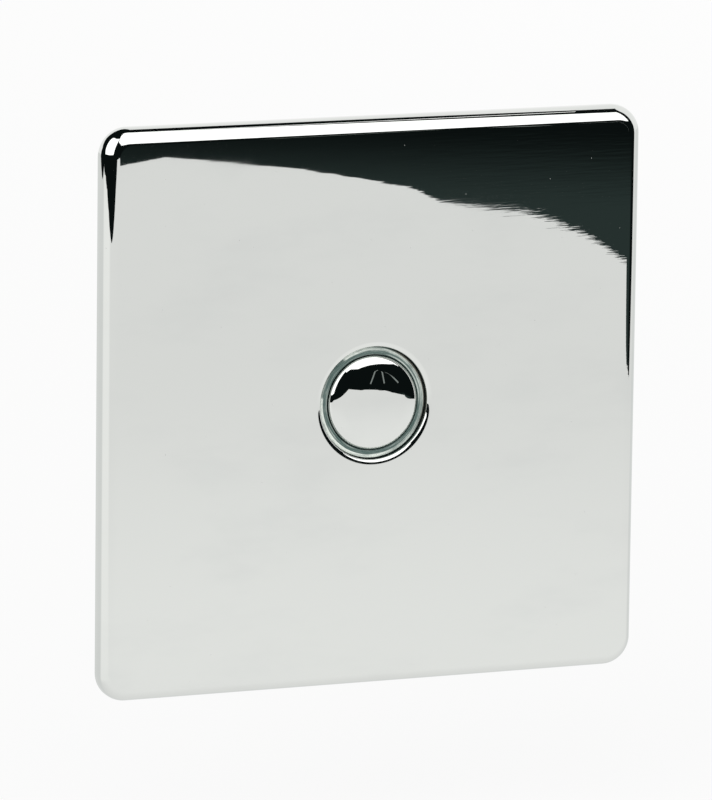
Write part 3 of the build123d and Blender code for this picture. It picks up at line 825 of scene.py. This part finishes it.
def bend(centre: Pair, radii: Pair, tilts: Pair, steps: int) -> Profile:
    """Arc of a section, part of an ellipse.

    Args:
        centre: Distance from the axis and height of the arc's centre.
        radii: Half width across the axis and half height along it.
        tilts: First and last tilt from the front, in degrees.
        steps: Number of steps.

    Returns:
        Points with their normals.
    """
    points = []
    for step in range(steps + 1):
        tilt = math.radians(tilts[0] + (tilts[1] - tilts[0]) * step / steps)
        out, up = math.sin(tilt), math.cos(tilt)
        length = math.hypot(out / radii[0], up / radii[1])
        normal = (out / radii[0] / length, up / radii[1] / length)
        points.append((centre[0] + radii[0] * out, centre[1] + radii[1] * up, *normal))
    return points


def walls(*corners: Pair) -> list[Profile]:
    """Straight stretches of a section, each looking to the left of its way.

    Args:
        corners: Distances from the axis, each with its height.

    Returns:
        One stretch for each step from corner to corner.
    """
    made = []
    for (near, low), (far, high) in zip(corners, corners[1:]):
        length = math.hypot(far - near, high - low)
        normal = ((low - high) / length, (far - near) / length)
        made.append([(near, low, *normal), (far, high, *normal)])
    return made


def turned_row(point: ProfilePoint, steps: int) -> list[Corner]:
    """One section point turned round the axis.

    Args:
        point: Distance from the axis, height and normal.
        steps: Steps round the axis.

    Returns:
        Row of corners.
    """
    reach, height, out, up = point
    sides = [radial(2.0 * math.pi * step / steps) for step in range(steps)]
    return [(side * reach + FRONT * height, side * out + FRONT * up) for side in sides]


# Sub-assemblies


@dataclass
class FrontPlate:
    """The pressed and chromed pan with its rolled hole."""

    sheet: float = 0.8
    corner_radius: float = 4.35
    edge_radius: float = 2.4
    hole_radius: float = 8.55
    lip_width: float = 0.8
    lip_depth: float = 0.4
    collar_length: float = 1.9
    notch_width: float = 9.0
    notch_height: float = 0.9
    notch_quarter: int = 2
    bend_steps: int = 24
    corner_steps: int = 20
    hole_steps: int = 240

    def __post_init__(self) -> None:
        """Takes the outer sizes from the frame and counts the steps up to the notch."""
        low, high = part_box("front_plate")
        self.size = (high.x - low.x) / MM
        self.depth = -low.y / MM
        self.gap = (self.notch_quarter + 1) * (self.corner_steps + 1)

    def outline(self, inset: float, height: float, out: float, up: float) -> list[Corner]:
        """Rounded square with a point at each end of the notch.

        Args:
            inset: Distance inside the plate's outline.
            height: Height in front of the wall.
            out: Share of the normal that points out of the outline.
            up: Share of the normal that points to the front.

        Returns:
            Row of corners.
        """
        half = self.size / 2 - inset
        radius = self.corner_radius - inset
        row = []
        for quarter in range(4):
            middle = radial(math.radians(45 + 90 * quarter))
            centre_x, centre_z = (math.copysign(half - radius, part) for part in (middle.x, middle.z))
            for step in range(self.corner_steps + 1):
                side = radial(math.radians(90 * quarter + 90 * step / self.corner_steps))
                place = Vector((centre_x, -height, centre_z)) + side * radius
                row.append((place, side * out + FRONT * up))
            if quarter == self.notch_quarter:
                for x in (-self.notch_width / 2, self.notch_width / 2):
                    row.append((Vector((x, -height, -half)), Vector((0.0, 0.0, -out)) + FRONT * up))
        return row

    def rows(self, inset: float, bend_radius: float, top: float, side: float) -> list[list[Corner]]:
        """Rows from the flat top over the bend to the rim, with one row at the notch's height.

        Args:
            inset: How far the upright wall lies inside the outline.
            bend_radius: Radius of the bend.
            top: Height of the flat.
            side: 1 for the outer skin, -1 for the inner one.

        Returns:
            Rows of corners, the last one on the rim.
        """
        notch_tilt = math.degrees(math.acos((self.notch_height - top + bend_radius) / bend_radius))
        tilts = {90.0 * step / self.bend_steps for step in range(self.bend_steps + 1)}
        made = []
        for tilt in map(math.radians, sorted({*tilts, notch_tilt})):
            out, up = math.sin(tilt), math.cos(tilt)
            lift = top - bend_radius * (1.0 - up)
            made.append(self.outline(inset + bend_radius * (1.0 - out), lift, side * out, side * up))
        made.append(self.outline(inset, 0.0, side, 0.0))
        return made

    def build(self) -> Object:
        """Builds the plate.

        Returns:
            The plate.
        """
        shell = Shell()
        inside = self.depth - self.sheet
        outer = self.rows(0.0, self.edge_radius, self.depth, 1.0)
        inner = self.rows(self.sheet, self.edge_radius - self.sheet, inside, -1.0)
        for skin in (outer, inner):
            for first, second in zip(skin, skin[1:]):
                low = all(map(self.in_notch, (first, second)))
                shell.strip(first, second, self.gap if low else None)
        rims = [[(point, -FRONT) for point, _ in skin[-1]] for skin in (outer, inner)]
        shell.strip(*rims, self.gap)
        self.close_notch(shell, outer, inner)
        hole, brim = self.hole_radius, self.depth - self.lip_depth
        flat, collar, end = hole + self.lip_width, hole + self.sheet, self.depth - self.collar_length
        lip = bend((flat, brim), (self.lip_width, self.lip_depth), (0.0, -90.0), self.bend_steps)
        tube = walls((collar, inside), (collar, end), (hole, end), (hole, brim))
        shell.turned([lip, *tube], self.hole_steps)
        for skin, reach, height, look in ((outer, flat, self.depth, 1.0), (inner, collar, inside, -1.0)):
            ring = turned_row((reach, height, 0.0, look), self.hole_steps)
            shell.flat([[point for point, _ in row] for row in (skin[0], ring)], FRONT * look)
        plate = shell.piece("chrome_plate", Finishes.chrome)
        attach(plate, Body.BASE.value)
        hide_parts("front_plate")
        return plate

    def in_notch(self, row: Sequence[Corner]) -> bool:
        """Whether a row lies no higher than the notch's roof."""
        return -row[self.gap][0].y <= self.notch_height + TOLERANCE

    def close_notch(self, shell: Shell, *skins: Sequence[Sequence[Corner]]) -> None:
        """Closes the cut sheet round the notch.

        Args:
            shell: Shell of the plate.
            skins: Rows of the outer skin and of the inner one.
        """
        outer, inner = ([row for row in skin if self.in_notch(row)] for skin in skins)
        first, last = self.gap, self.gap + 1
        for step, look in ((first, 1.0), (last, -1.0)):
            loop = [row[step][0] for row in (*outer, *reversed(inner))]
            shell.flat([loop], Vector((look, 0.0, 0.0)))
        roof = (outer[0][first], outer[0][last], inner[0][last], inner[0][first])
        shell.face([(point, -FRONT) for point, _ in roof])


@dataclass
class PushButton:
    """The chromed button cap: a shallow crown, a rounder shoulder, a small round edge and a skirt."""

    crown_radius: float = 51.0
    shoulder_width: float = 2.25
    shoulder_radius: float = 7.1
    edge_radius: float = 1.05
    edge_end: float = 62.0
    rim_reach: float = 0.09
    wall: float = 1.1
    steps: int = 240
    arc_steps: int = 20

    def __post_init__(self) -> None:
        """Takes the outer sizes from the frame."""
        low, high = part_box("button_cap")
        self.radius = high.x / MM + self.rim_reach
        self.apex = -low.y / MM
        self.back = -high.y / MM

    def crown(self) -> list[Profile]:
        """The three arcs from the middle to the rim.

        Returns:
            Stretches of the section.
        """
        crown_tilt = math.asin((self.radius - self.shoulder_width) / self.crown_radius)
        crown_centre = self.apex - self.crown_radius
        reach = self.crown_radius - self.shoulder_radius
        shoulder_centre = (reach * math.sin(crown_tilt), crown_centre + reach * math.cos(crown_tilt))
        edge_centre = self.radius - self.edge_radius * math.sin(math.radians(self.edge_end))
        fall = self.shoulder_radius - self.edge_radius
        edge_tilt = math.asin((edge_centre - shoulder_centre[0]) / fall)
        rim = shoulder_centre[1] + fall * math.cos(edge_tilt)
        first, second = math.degrees(crown_tilt), math.degrees(edge_tilt)
        arcs = (
            ((0.0, crown_centre), self.crown_radius, (0.0, first)),
            (shoulder_centre, self.shoulder_radius, (first, second)),
            ((edge_centre, rim), self.edge_radius, (second, self.edge_end)),
        )
        return [bend(centre, (radius, radius), tilts, self.arc_steps) for centre, radius, tilts in arcs]

    def build(self) -> Object:
        """Builds the cap.

        Returns:
            The cap.
        """
        arcs = self.crown()
        rim = arcs[-1][-1][1]
        under = rim + self.edge_radius - self.wall
        bore = self.radius - self.wall
        radius, back = self.radius, self.back
        skirt = walls((radius, rim), (radius, back), (bore, back), (bore, under), (0.0, under))
        shell = Shell()
        shell.turned([*arcs, *skirt], self.steps)
        cap = shell.piece("chrome_button", Finishes.chrome)
        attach(cap, Body.BUTTON.value)
        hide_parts("button_cap")
        return cap


@dataclass
class LightRing:
    """The clear ring round the button."""

    edge_radius: float = 0.5
    edge_steps: int = 14
    steps: int = 240

    def __post_init__(self) -> None:
        """Takes the outer sizes from the frame."""
        low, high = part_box("light_ring")
        self.outer_radius = high.x / MM
        self.front = -low.y / MM
        self.back = -high.y / MM

    def build(self) -> Object:
        """Builds the ring.

        Returns:
            The ring.
        """
        edge, outer, back = self.edge_radius, self.outer_radius, self.back
        shoulder = self.front - edge
        bends = (RING_BORE + edge, outer - edge)
        shell = Shell()
        shell.turned(
            [
                bend((bends[0], shoulder), (edge, edge), (-90.0, 0.0), self.edge_steps),
                *walls((bends[0], self.front), (bends[1], self.front)),
                bend((bends[1], shoulder), (edge, edge), (0.0, 90.0), self.edge_steps),
                *walls((outer, shoulder), (outer, back), (RING_BORE, back), (RING_BORE, shoulder)),
            ],
            self.steps,
        )
        ring = shell.piece("clear_ring", Finishes.clear)
        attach(ring, Body.BASE.value)
        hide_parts("light_ring")
        return ring


@dataclass
class FixingScrews:
    """The two wall-box screws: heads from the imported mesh, a cut thread in place of the plain shanks."""

    crest_radius: float = 1.75
    thread_depth: float = 0.33
    pitch: float = 0.6
    thread_start: float = 1.3
    tip: float = 0.5
    spacing: float = 60.3
    turn_points: int = 24
    tooth_corners: int = 4
    core_sides: int = 32
    smooth_angle: float = 35.0

    def __post_init__(self) -> None:
        """Takes the thread's length from the frame and names the recipe's inputs, in millimetres."""
        self.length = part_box("fixing_screws")[1].y / MM - self.thread_start
        self.inputs = {
            "Crest Radius": self.crest_radius,
            "Thread Depth": self.thread_depth,
            "Pitch": self.pitch,
            "Length": self.length,
            "Start": self.thread_start,
            "Tip": self.tip,
            "Spacing": self.spacing,
        }

    def heads(self) -> Mesh:
        """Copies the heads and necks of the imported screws.

        Returns:
            Closed mesh without the shanks.
        """
        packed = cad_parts["fixing_screws"]
        copy = bmesh.new()
        copy.from_mesh(packed.data)
        copy.transform(packed.matrix_world)
        bmesh.ops.remove_doubles(copy, verts=copy.verts, dist=TOLERANCE)
        limit = self.thread_start * MM - TOLERANCE
        shank = [face for face in copy.faces if all(corner.co.y > limit for corner in face.verts)]
        bmesh.ops.delete(copy, geom=shank, context="FACES")
        bmesh.ops.holes_fill(copy, edges=[edge for edge in copy.edges if edge.is_boundary])
        bmesh.ops.recalc_face_normals(copy, faces=copy.faces)
        mesh = bpy.data.meshes.new("screw_heads")
        copy.to_mesh(mesh)
        copy.free()
        return mesh

    def recipe(self) -> NodeTree:
        """Geometry nodes that add the same cut thread to both heads.

        Returns:
            The node group, with its sizes and finish as named inputs.
        """
        tree = bpy.data.node_groups.new("cut thread", "GeometryNodeTree")
        tree.interface.new_socket("Heads", in_out="INPUT", socket_type="NodeSocketGeometry")
        for name in self.inputs:
            tree.interface.new_socket(name, in_out="INPUT", socket_type="NodeSocketFloat")
        tree.interface.new_socket("Finish", in_out="INPUT", socket_type="NodeSocketMaterial")
        tree.interface.new_socket("Screws", in_out="OUTPUT", socket_type="NodeSocketGeometry")
        maker = NodeMaker(tree)
        given = maker.node("NodeGroupInput")
        crest, depth, pitch, length, start, tip, spacing = (maker.value(given, name) for name in self.inputs)
        root, body = crest - depth, length - tip
        cut = body - depth * 2.0

        def along(axis: str, way: Value) -> NodeSocket:
            """Vector along one axis."""
            return maker.out("ShaderNodeCombineXYZ", None, {axis: way})

        def raised(part: NodeSocket, lift: Value) -> NodeSocket:
            """Part lifted along the screw."""
            sockets = {"Geometry": part, "Translation": along("Z", lift)}
            return maker.out("GeometryNodeTransform", None, sockets)

        spiral = maker.out("GeometryNodeCurveSpiral", None, {
            "Resolution": self.turn_points, "Rotations": cut / pitch,
            "Start Radius": root, "End Radius": root, "Height": cut,
        })
        tooth = {"Resolution": self.tooth_corners, "Radius": depth}
        thread = maker.out("GeometryNodeCurveToMesh", None, {
            "Curve": maker.out("GeometryNodeSetCurveNormal", {"mode": "Z_UP"}, {"Curve": spiral}),
            "Profile Curve": maker.out("GeometryNodeCurvePrimitiveCircle", None, tooth),
            "Fill Caps": True,
        })
        core = maker.out("GeometryNodeMeshCylinder", None, {
            "Vertices": self.core_sides, "Radius": root, "Depth": body,
        })
        point = maker.out("GeometryNodeMeshCone", None, {
            "Vertices": self.core_sides, "Radius Bottom": root, "Radius Top": root - tip, "Depth": tip,
        })
        parts = [raised(thread, depth), raised(core, body * 0.5), raised(point, body)]
        laid = maker.out("GeometryNodeTransform", None, {
            "Geometry": maker.out("GeometryNodeJoinGeometry", None, {0: parts}),
            "Translation": along("Y", start),
            "Rotation": (-math.pi / 2, 0.0, 0.0),
        })
        row = maker.out("GeometryNodeMeshLine", None, {
            "Count": 2, "Start Location": along("X", spacing * -0.5), "Offset": along("X", spacing),
        })
        pair = maker.out("GeometryNodeInstanceOnPoints", None, {"Points": row, "Instance": laid})
        whole = maker.out("GeometryNodeJoinGeometry", None, {0: [given.outputs["Heads"], pair]})
        dressed = maker.out("GeometryNodeSetMaterial", None, {
            "Geometry": maker.out("GeometryNodeRealizeInstances", None, {0: whole}),
            "Material": given.outputs["Finish"],
        })
        maker.node("NodeGroupOutput", None, {"Screws": dressed})
        return tree

    def build(self) -> Object:
        """Builds the screws.

        Returns:
            Both screws as one piece.
        """
        screws = linked(bpy.data.objects.new("threaded_screws", self.heads()))
        tree = self.recipe()
        modifier = screws.modifiers.new("cut thread", "NODES")
        modifier.node_group = tree
        sockets = {
            item.name: item.identifier
            for item in tree.interface.items_tree
            if item.item_type == "SOCKET" and item.in_out == "INPUT"
        }
        for name, length in self.inputs.items():
            modifier[sockets[name]] = length * MM
        modifier[sockets["Finish"]] = Finishes.screw.material()
        screws.update_tag()
        evaluated = screws.evaluated_get(bpy.context.evaluated_depsgraph_get())
        mesh = bpy.data.meshes.new_from_object(evaluated)
        screws.modifiers.remove(modifier)
        screws.data = mesh
        mesh.polygons.foreach_set("use_smooth", [True] * len(mesh.polygons))
        mesh.set_sharp_from_angle(angle=math.radians(self.smooth_angle))
        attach(screws, Body.BASE.value)
        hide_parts("fixing_screws")
        return screws


# Studio and camera


def towards(azimuth: float, elevation: float) -> Vector:
    """Direction by its azimuth from the front towards +X and its elevation, in degrees."""
    turn, rise = math.radians(azimuth), math.radians(elevation)
    return Vector((math.sin(turn) * math.cos(rise), -math.cos(turn) * math.cos(rise), math.sin(rise)))


@dataclass
class PhotoCamera:
    """The long lens that took the portrait."""

    yaw: float = -21.89
    pitch: float = 10.72
    roll: float = 0.72
    distance: float = 1123.4
    shift_right: float = -1.67
    shift_up: float = -0.02
    focal_pixels: float = 7520.0
    image_height: float = 800.0
    sensor: float = 36.0

    def build(self) -> None:
        """Places the camera."""
        turn, lean = math.radians(self.yaw), math.radians(self.roll)
        back = towards(self.yaw, self.pitch)
        level = Vector((math.cos(turn), math.sin(turn), 0.0))
        upright = back.cross(level)
        right = level * math.cos(lean) + upright * math.sin(lean)
        up = upright * math.cos(lean) - level * math.sin(lean)
        lens = bpy.data.cameras.new("portrait_lens")
        lens.sensor_fit = "VERTICAL"
        lens.sensor_height = self.sensor
        lens.lens = self.focal_pixels / self.image_height * self.sensor
        camera = linked(bpy.data.objects.new("portrait_camera", lens))
        place = right * self.shift_right + up * self.shift_up + back * self.distance
        axes = Matrix((right, up, back)).transposed().to_4x4()
        camera.matrix_world = Matrix.Translation(place * MM) @ axes
        bpy.context.scene.camera = camera


@dataclass(frozen=True)
class FloorPaper(Finish):
    """Pale floor paper: white to the lens, with painted light and shade in mirrors (brighter near the switch,
    darker farther off, a painted shadow under and at the back of the switch, and a painted light band on the
    left), and it still takes a real shadow.

    Reaches and depths are millimetres from the switch, and turns are radians from the front towards +X.
    """

    white: Colour = WHITE
    # painted light and shade, seen only in mirrors: bright is a painted pool of light near the switch, dull
    # is the painted falloff of light farther off, and left is a painted band of light on the left
    bright: Colour = (1.01, 1.01, 1.008)
    dull: Colour = (0.91, 0.91, 0.91)
    # painted shadow on the floor under and at the back of the switch
    behind_shadow: Colour = (0.825, 0.835, 0.835)
    left: Colour = (1.06, 1.06, 1.055)
    paper: Colour = (0.86, 0.86, 0.85)
    glow: float = 0.88
    bright_reaches: Pair = (130.0, 420.0)
    under_depths: Pair = (-30.0, 10.0)
    behind_shadow_depths: Pair = (4.0, 22.0)
    left_turns: Window = (-1.83, -1.63, -1.02, -0.78)
    left_reaches: Pair = (70.0, 110.0)

    def build(self, paint: Paint) -> None:
        """Builds the nodes.

        Args:
            paint: Empty tree.
        """
        lens, seen = paint.rays()
        x, y = paint.coordinates("X", "Y")
        reach = (x * x + y * y) ** 0.5
        # painted light: masks for the brighter floor near the switch and for the painted light band on the
        # left
        close = (1.0 - reach.ramp(*self.bright_reaches)) * (1.0 - y.ramp(*self.under_depths))
        left = x.sum("ARCTAN2", 0.0 - y).window(self.left_turns) * reach.ramp(*self.left_reaches)
        # painted shade: the darker far floor, and a painted shadow at the back of the switch
        ground = paint.blend(y.ramp(*self.behind_shadow_depths), self.dull, self.behind_shadow)
        mirrored = paint.blend(left, paint.blend(close, ground, self.bright), self.left)
        light = paint.out("ShaderNodeEmission", None, {"Color": paint.blend(lens, mirrored, self.white)})
        paper = paint.out("ShaderNodeBsdfDiffuse", None, {"Color": self.paper})
        paint.finish(paint.out("ShaderNodeMixShader", None, {0: seen * self.glow, 1: paper, 2: light}))
        paint.leave_out_of_lamps()


@dataclass(frozen=True)
class Card(Finish):
    """Studio card that glows with one plain colour."""

    colour: Colour = WHITE
    strength: float = 1.0

    def build(self, paint: Paint) -> None:
        """Builds the nodes.

        Args:
            paint: Empty tree.
        """
        sockets = {"Color": self.colour, "Strength": self.strength}
        paint.finish(paint.out("ShaderNodeEmission", None, sockets))
        paint.leave_out_of_lamps()


@dataclass(frozen=True)
class DarkRoom(Finish):
    """The unlit room round the set, a little lighter near the ground ahead.

    Levels are heights in millimetres, and turns are radians from the front towards +X.
    """

    low: Colour = (0.026, 0.039, 0.037)
    high: Colour = (0.004, 0.006, 0.006)
    levels: Pair = (-372.0, -332.0)
    low_turns: Window = (0.05, 0.25, 0.75, 0.95)

    def build(self, paint: Paint) -> None:
        """Builds the nodes.

        Args:
            paint: Empty tree.
        """
        x, y, z = paint.coordinates("X", "Y", "Z")
        ahead = x.sum("ARCTAN2", 0.0 - y).window(self.low_turns)
        near_ground = (1.0 - z.ramp(*self.levels)) * ahead
        colour = paint.blend(near_ground, self.high, self.low)
        paint.finish(paint.out("ShaderNodeEmission", None, {"Color": colour}))
        paint.leave_out_of_lamps()


@dataclass
class Studio:
    """Floor, cards and lamps; only mirrors see the cards.

    Edges of the floor and the roof are places in millimetres. Edges of the room, the boxes and the stand are
    azimuths from the front towards +X with elevations, in degrees.
    """

    floor_level: float = -68.0
    floor_reach: float = 3000.0
    floor_side: float = -200.0
    floor_edge: tuple[Pair, ...] = (
        (-541.0, 462.0), (-593.0, 367.0), (-703.0, 110.0), (-698.0, -49.0), (-650.0, -190.0),
        (-570.0, -300.0), (-470.0, -385.0), (-359.0, -466.0), (-252.0, -552.0), (-150.0, -628.0),
        (-90.0, -660.0), (-20.0, -695.0), (65.0, -735.0), (148.0, -725.0), (184.0, -640.0), (189.0, -633.0),
        (204.0, -642.0), (217.0, -629.0), (228.0, -617.0), (236.0, -600.0), (243.0, -583.0),
        (242.0, -562.0), (249.0, -549.0), (255.0, -542.0), (256.0, -524.0), (255.0, -505.0),
        (250.0, -476.0), (249.0, -395.0), (257.0, -354.0), (283.0, -311.0), (328.0, -262.0),
        (359.0, -207.0), (383.0, -163.0),
    )
    room_radius: float = 2500.0
    room_foot: float = -24.0
    room_top: float = 90.0
    room_front: range = range(-132, 73, 6)
    room_edge: tuple[Pair, ...] = (
        (74.0, 55.0), (90.0, 64.0), (114.0, 64.0), (134.0, 59.0), (147.0, 55.0), (165.0, 45.0),
        (189.0, 33.0), (197.0, 22.0), (224.0, 14.0),
    )
    room_end: float = 228.0
    front_box_radius: float = 200.0
    front_box: tuple[Pair, ...] = (
        (-75.0, 78.0), (-62.0, 69.0), (-50.0, 60.0), (-39.0, 45.4), (-30.0, 39.6), (-16.0, 28.0),
        (8.0, 16.0), (22.0, 17.0), (36.0, 18.3), (48.0, 20.5), (60.0, 23.7),
    )
    front_box_top: float = 87.0
    front_box_roof: tuple[Pair, ...] = ((-60.0, -12.0), (100.0, -12.0), (100.0, -4.0), (-40.0, -4.0))
    left_box_radius: float = 1600.0
    left_box: tuple[Colour, ...] = (
        (-111.0, 49.0, 52.0), (-105.0, 37.0, 57.0), (-97.0, 20.0, 60.0), (-90.0, 7.0, 60.0),
        (-60.0, 5.5, 59.0), (-31.5, 4.0, 57.0),
    )
    box_strength: float = 1.7
    stand_radius: float = 750.0
    stand_width: float = 6.0
    stand_grey: Colour = (0.26, 0.29, 0.28)
    stand_legs: tuple[tuple[Pair, Pair], ...] = (
        ((19.8, -4.0), (22.8, 3.0)), ((25.0, -4.2), (24.0, 0.5)), ((30.4, -4.4), (25.6, 0.2)),
    )
    patch_rows: int = 16
    world_levels: Pair = (0.55, 1.0)
    lamp_size: float = 1200.0
    key_place: Colour = (-700.0, -900.0, 900.0)
    key_watts: float = 8.0
    fill_place: Colour = (900.0, 900.0, 700.0)
    fill_watts: float = 6.0

    @staticmethod
    def mirrored_card(
        name: str, points: Sequence[Vector], finish: Finish, faces: Faces = ((0, 1, 2, 3),)
    ) -> None:
        """Makes a card that shows in mirrors and through clear parts only.

        Args:
            name: Name of the card.
            points: Corners in millimetres.
            finish: Its finish.
            faces: Corner indices of each face.
        """
        card = placed_mesh(name, points, faces, finish)
        card.visible_camera = False
        card.visible_diffuse = False
        card.visible_shadow = False

    def patch(self, name: str, radius: float, columns: Sequence[Colour], finish: Finish) -> None:
        """Makes a card bent round the switch.

        Args:
            name: Name of the card.
            radius: Its distance.
            columns: Azimuths, each with its lower and upper elevation, in degrees.
            finish: Its finish.
        """
        rows, stride = self.patch_rows, self.patch_rows + 1
        points = [
            towards(azimuth, low + (high - low) * row / rows) * radius
            for azimuth, low, high in columns
            for row in range(stride)
        ]
        starts = [column * stride + row for column in range(len(columns) - 1) for row in range(rows)]
        faces = [(start, start + 1, start + stride + 1, start + stride) for start in starts]
        self.mirrored_card(name, points, finish, faces)

    def build(self) -> None:
        """Builds the studio."""
        self.build_floor()
        self.build_room()
        self.build_boxes()
        self.build_world()
        self.build_lamp("key", self.key_place, self.key_watts)
        self.build_lamp("fill", self.fill_place, self.fill_watts)

    def build_floor(self) -> None:
        """Lays the paper, cut at the front and left where the room beyond shows in the plate."""
        reach = self.floor_reach
        edge = (*self.floor_edge, (reach, self.floor_side), (reach, reach), (-reach, reach))
        outline = [Vector((x, y, self.floor_level)) for x, y in edge]
        triangles = [tuple(triangle) for triangle in tessellate_polygon([outline])]
        placed_mesh("paper_floor", outline, triangles, FloorPaper("floor paper"))

    def build_room(self) -> None:
        """Closes off the unlit room in front, on the left and overhead, with a light stand in it."""
        feet = [*((azimuth, self.room_foot) for azimuth in self.room_front), *self.room_edge]
        columns = [(azimuth, low, self.room_top) for azimuth, low in (*feet, (self.room_end, self.room_foot))]
        self.patch("dark_room", self.room_radius, columns, DarkRoom("dark room"))
        for place, ends in enumerate(self.stand_legs):
            low, high = (towards(*end) * self.stand_radius for end in ends)
            side = (high - low).cross(low).normalized() * (self.stand_width / 2)
            points = [low - side, low + side, high + side, high - side]
            self.mirrored_card(f"stand_leg_{place}", points, Card("stand grey", self.stand_grey))

    def build_boxes(self) -> None:
        """Hangs the two white light boxes."""
        white = Card("white box", WHITE, self.box_strength)
        columns = [(azimuth, low, self.front_box_top) for azimuth, low in self.front_box]
        self.patch("front_box", self.front_box_radius, columns, white)
        roof = [Vector((x, y, self.front_box_radius)) for x, y in self.front_box_roof]
        self.mirrored_card("front_box_roof", roof, white)
        self.patch("left_box", self.left_box_radius, self.left_box, white)

    def build_world(self) -> None:
        """White to the lens and in mirrors, plain grey light elsewhere."""
        world = bpy.data.worlds.new("studio")
        bpy.context.scene.world = world
        paint = Paint(world)
        _, seen = paint.rays()
        dim, full = self.world_levels
        sockets = {"Color": WHITE, "Strength": seen * (full - dim) + dim}
        paint.finish(paint.out("ShaderNodeBackground", None, sockets))

    def build_lamp(self, name: str, place: Colour, watts: float) -> None:
        """Hangs a soft square lamp aimed at the switch.

        Args:
            name: Name of the lamp.
            place: Its place in millimetres.
            watts: Its power.
        """
        lamp = bpy.data.lights.new(name, "AREA")
        lamp.size = self.lamp_size * MM
        lamp.energy = watts
        stand = linked(bpy.data.objects.new(name, lamp))
        stand.location = Vector(place) * MM
        stand.rotation_euler = Vector(place).to_track_quat("Z", "Y").to_euler()
        stand.visible_glossy = False


class CarriedNodes:
    """Finishes for the CAD nodes that keep their own mesh."""

    finishes: Mapping[Finish, tuple[str, ...]] = {
        Finishes.liner: ("plate_liner",),
        Finishes.steel: ("mounting_frame",),
        Finishes.sink: ("heat_sink",),
        Finishes.housing: ("rear_housing",),
        Finishes.screw: ("housing_screws", "triac_screw", "terminal_screws", "earth_screw"),
        Finishes.carrier: ("button_carrier",),
        Finishes.slider: ("button_slider", "switch_actuator"),
        Finishes.case: (
            "switch_body", "triac", "suppression_capacitor", "smoothing_capacitor", "control_chip",
        ),
        Finishes.board: ("circuit_board",),
        Finishes.lens: ("indicator_leds",),
        Finishes.pad: ("triac_pad",),
        Finishes.ferrite: ("choke_core",),
        Finishes.copper: ("choke_winding",),
        Finishes.ceramic: ("fuse", "dropper_resistor"),
        Finishes.block: ("terminal_block",),
        Finishes.brass: ("live_terminal", "load_terminal", "strapping_terminal", "earth_terminal"),
    }

    def dress(self) -> None:
        """Gives each carried node its finish."""
        for finish, names in self.finishes.items():
            for name in names:
                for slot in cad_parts[name].material_slots:
                    slot.material = finish.material()
                log.info("node %s: %s", name, finish.name)


def main() -> None:
    """Builds the switch, its studio and its camera."""
    logging.basicConfig(level=logging.INFO, format="%(name)s: %(message)s")
    bpy.context.scene.view_settings.view_transform = "Standard"
    PhotoCamera().build()
    Studio().build()
    for part in (FrontPlate(), PushButton(), LightRing(), FixingScrews()):
        made = part.build()
        log.info("piece %s: %d faces", made.name, len(made.data.polygons))
    CarriedNodes().dress()


if __name__ == "__main__":
    main()
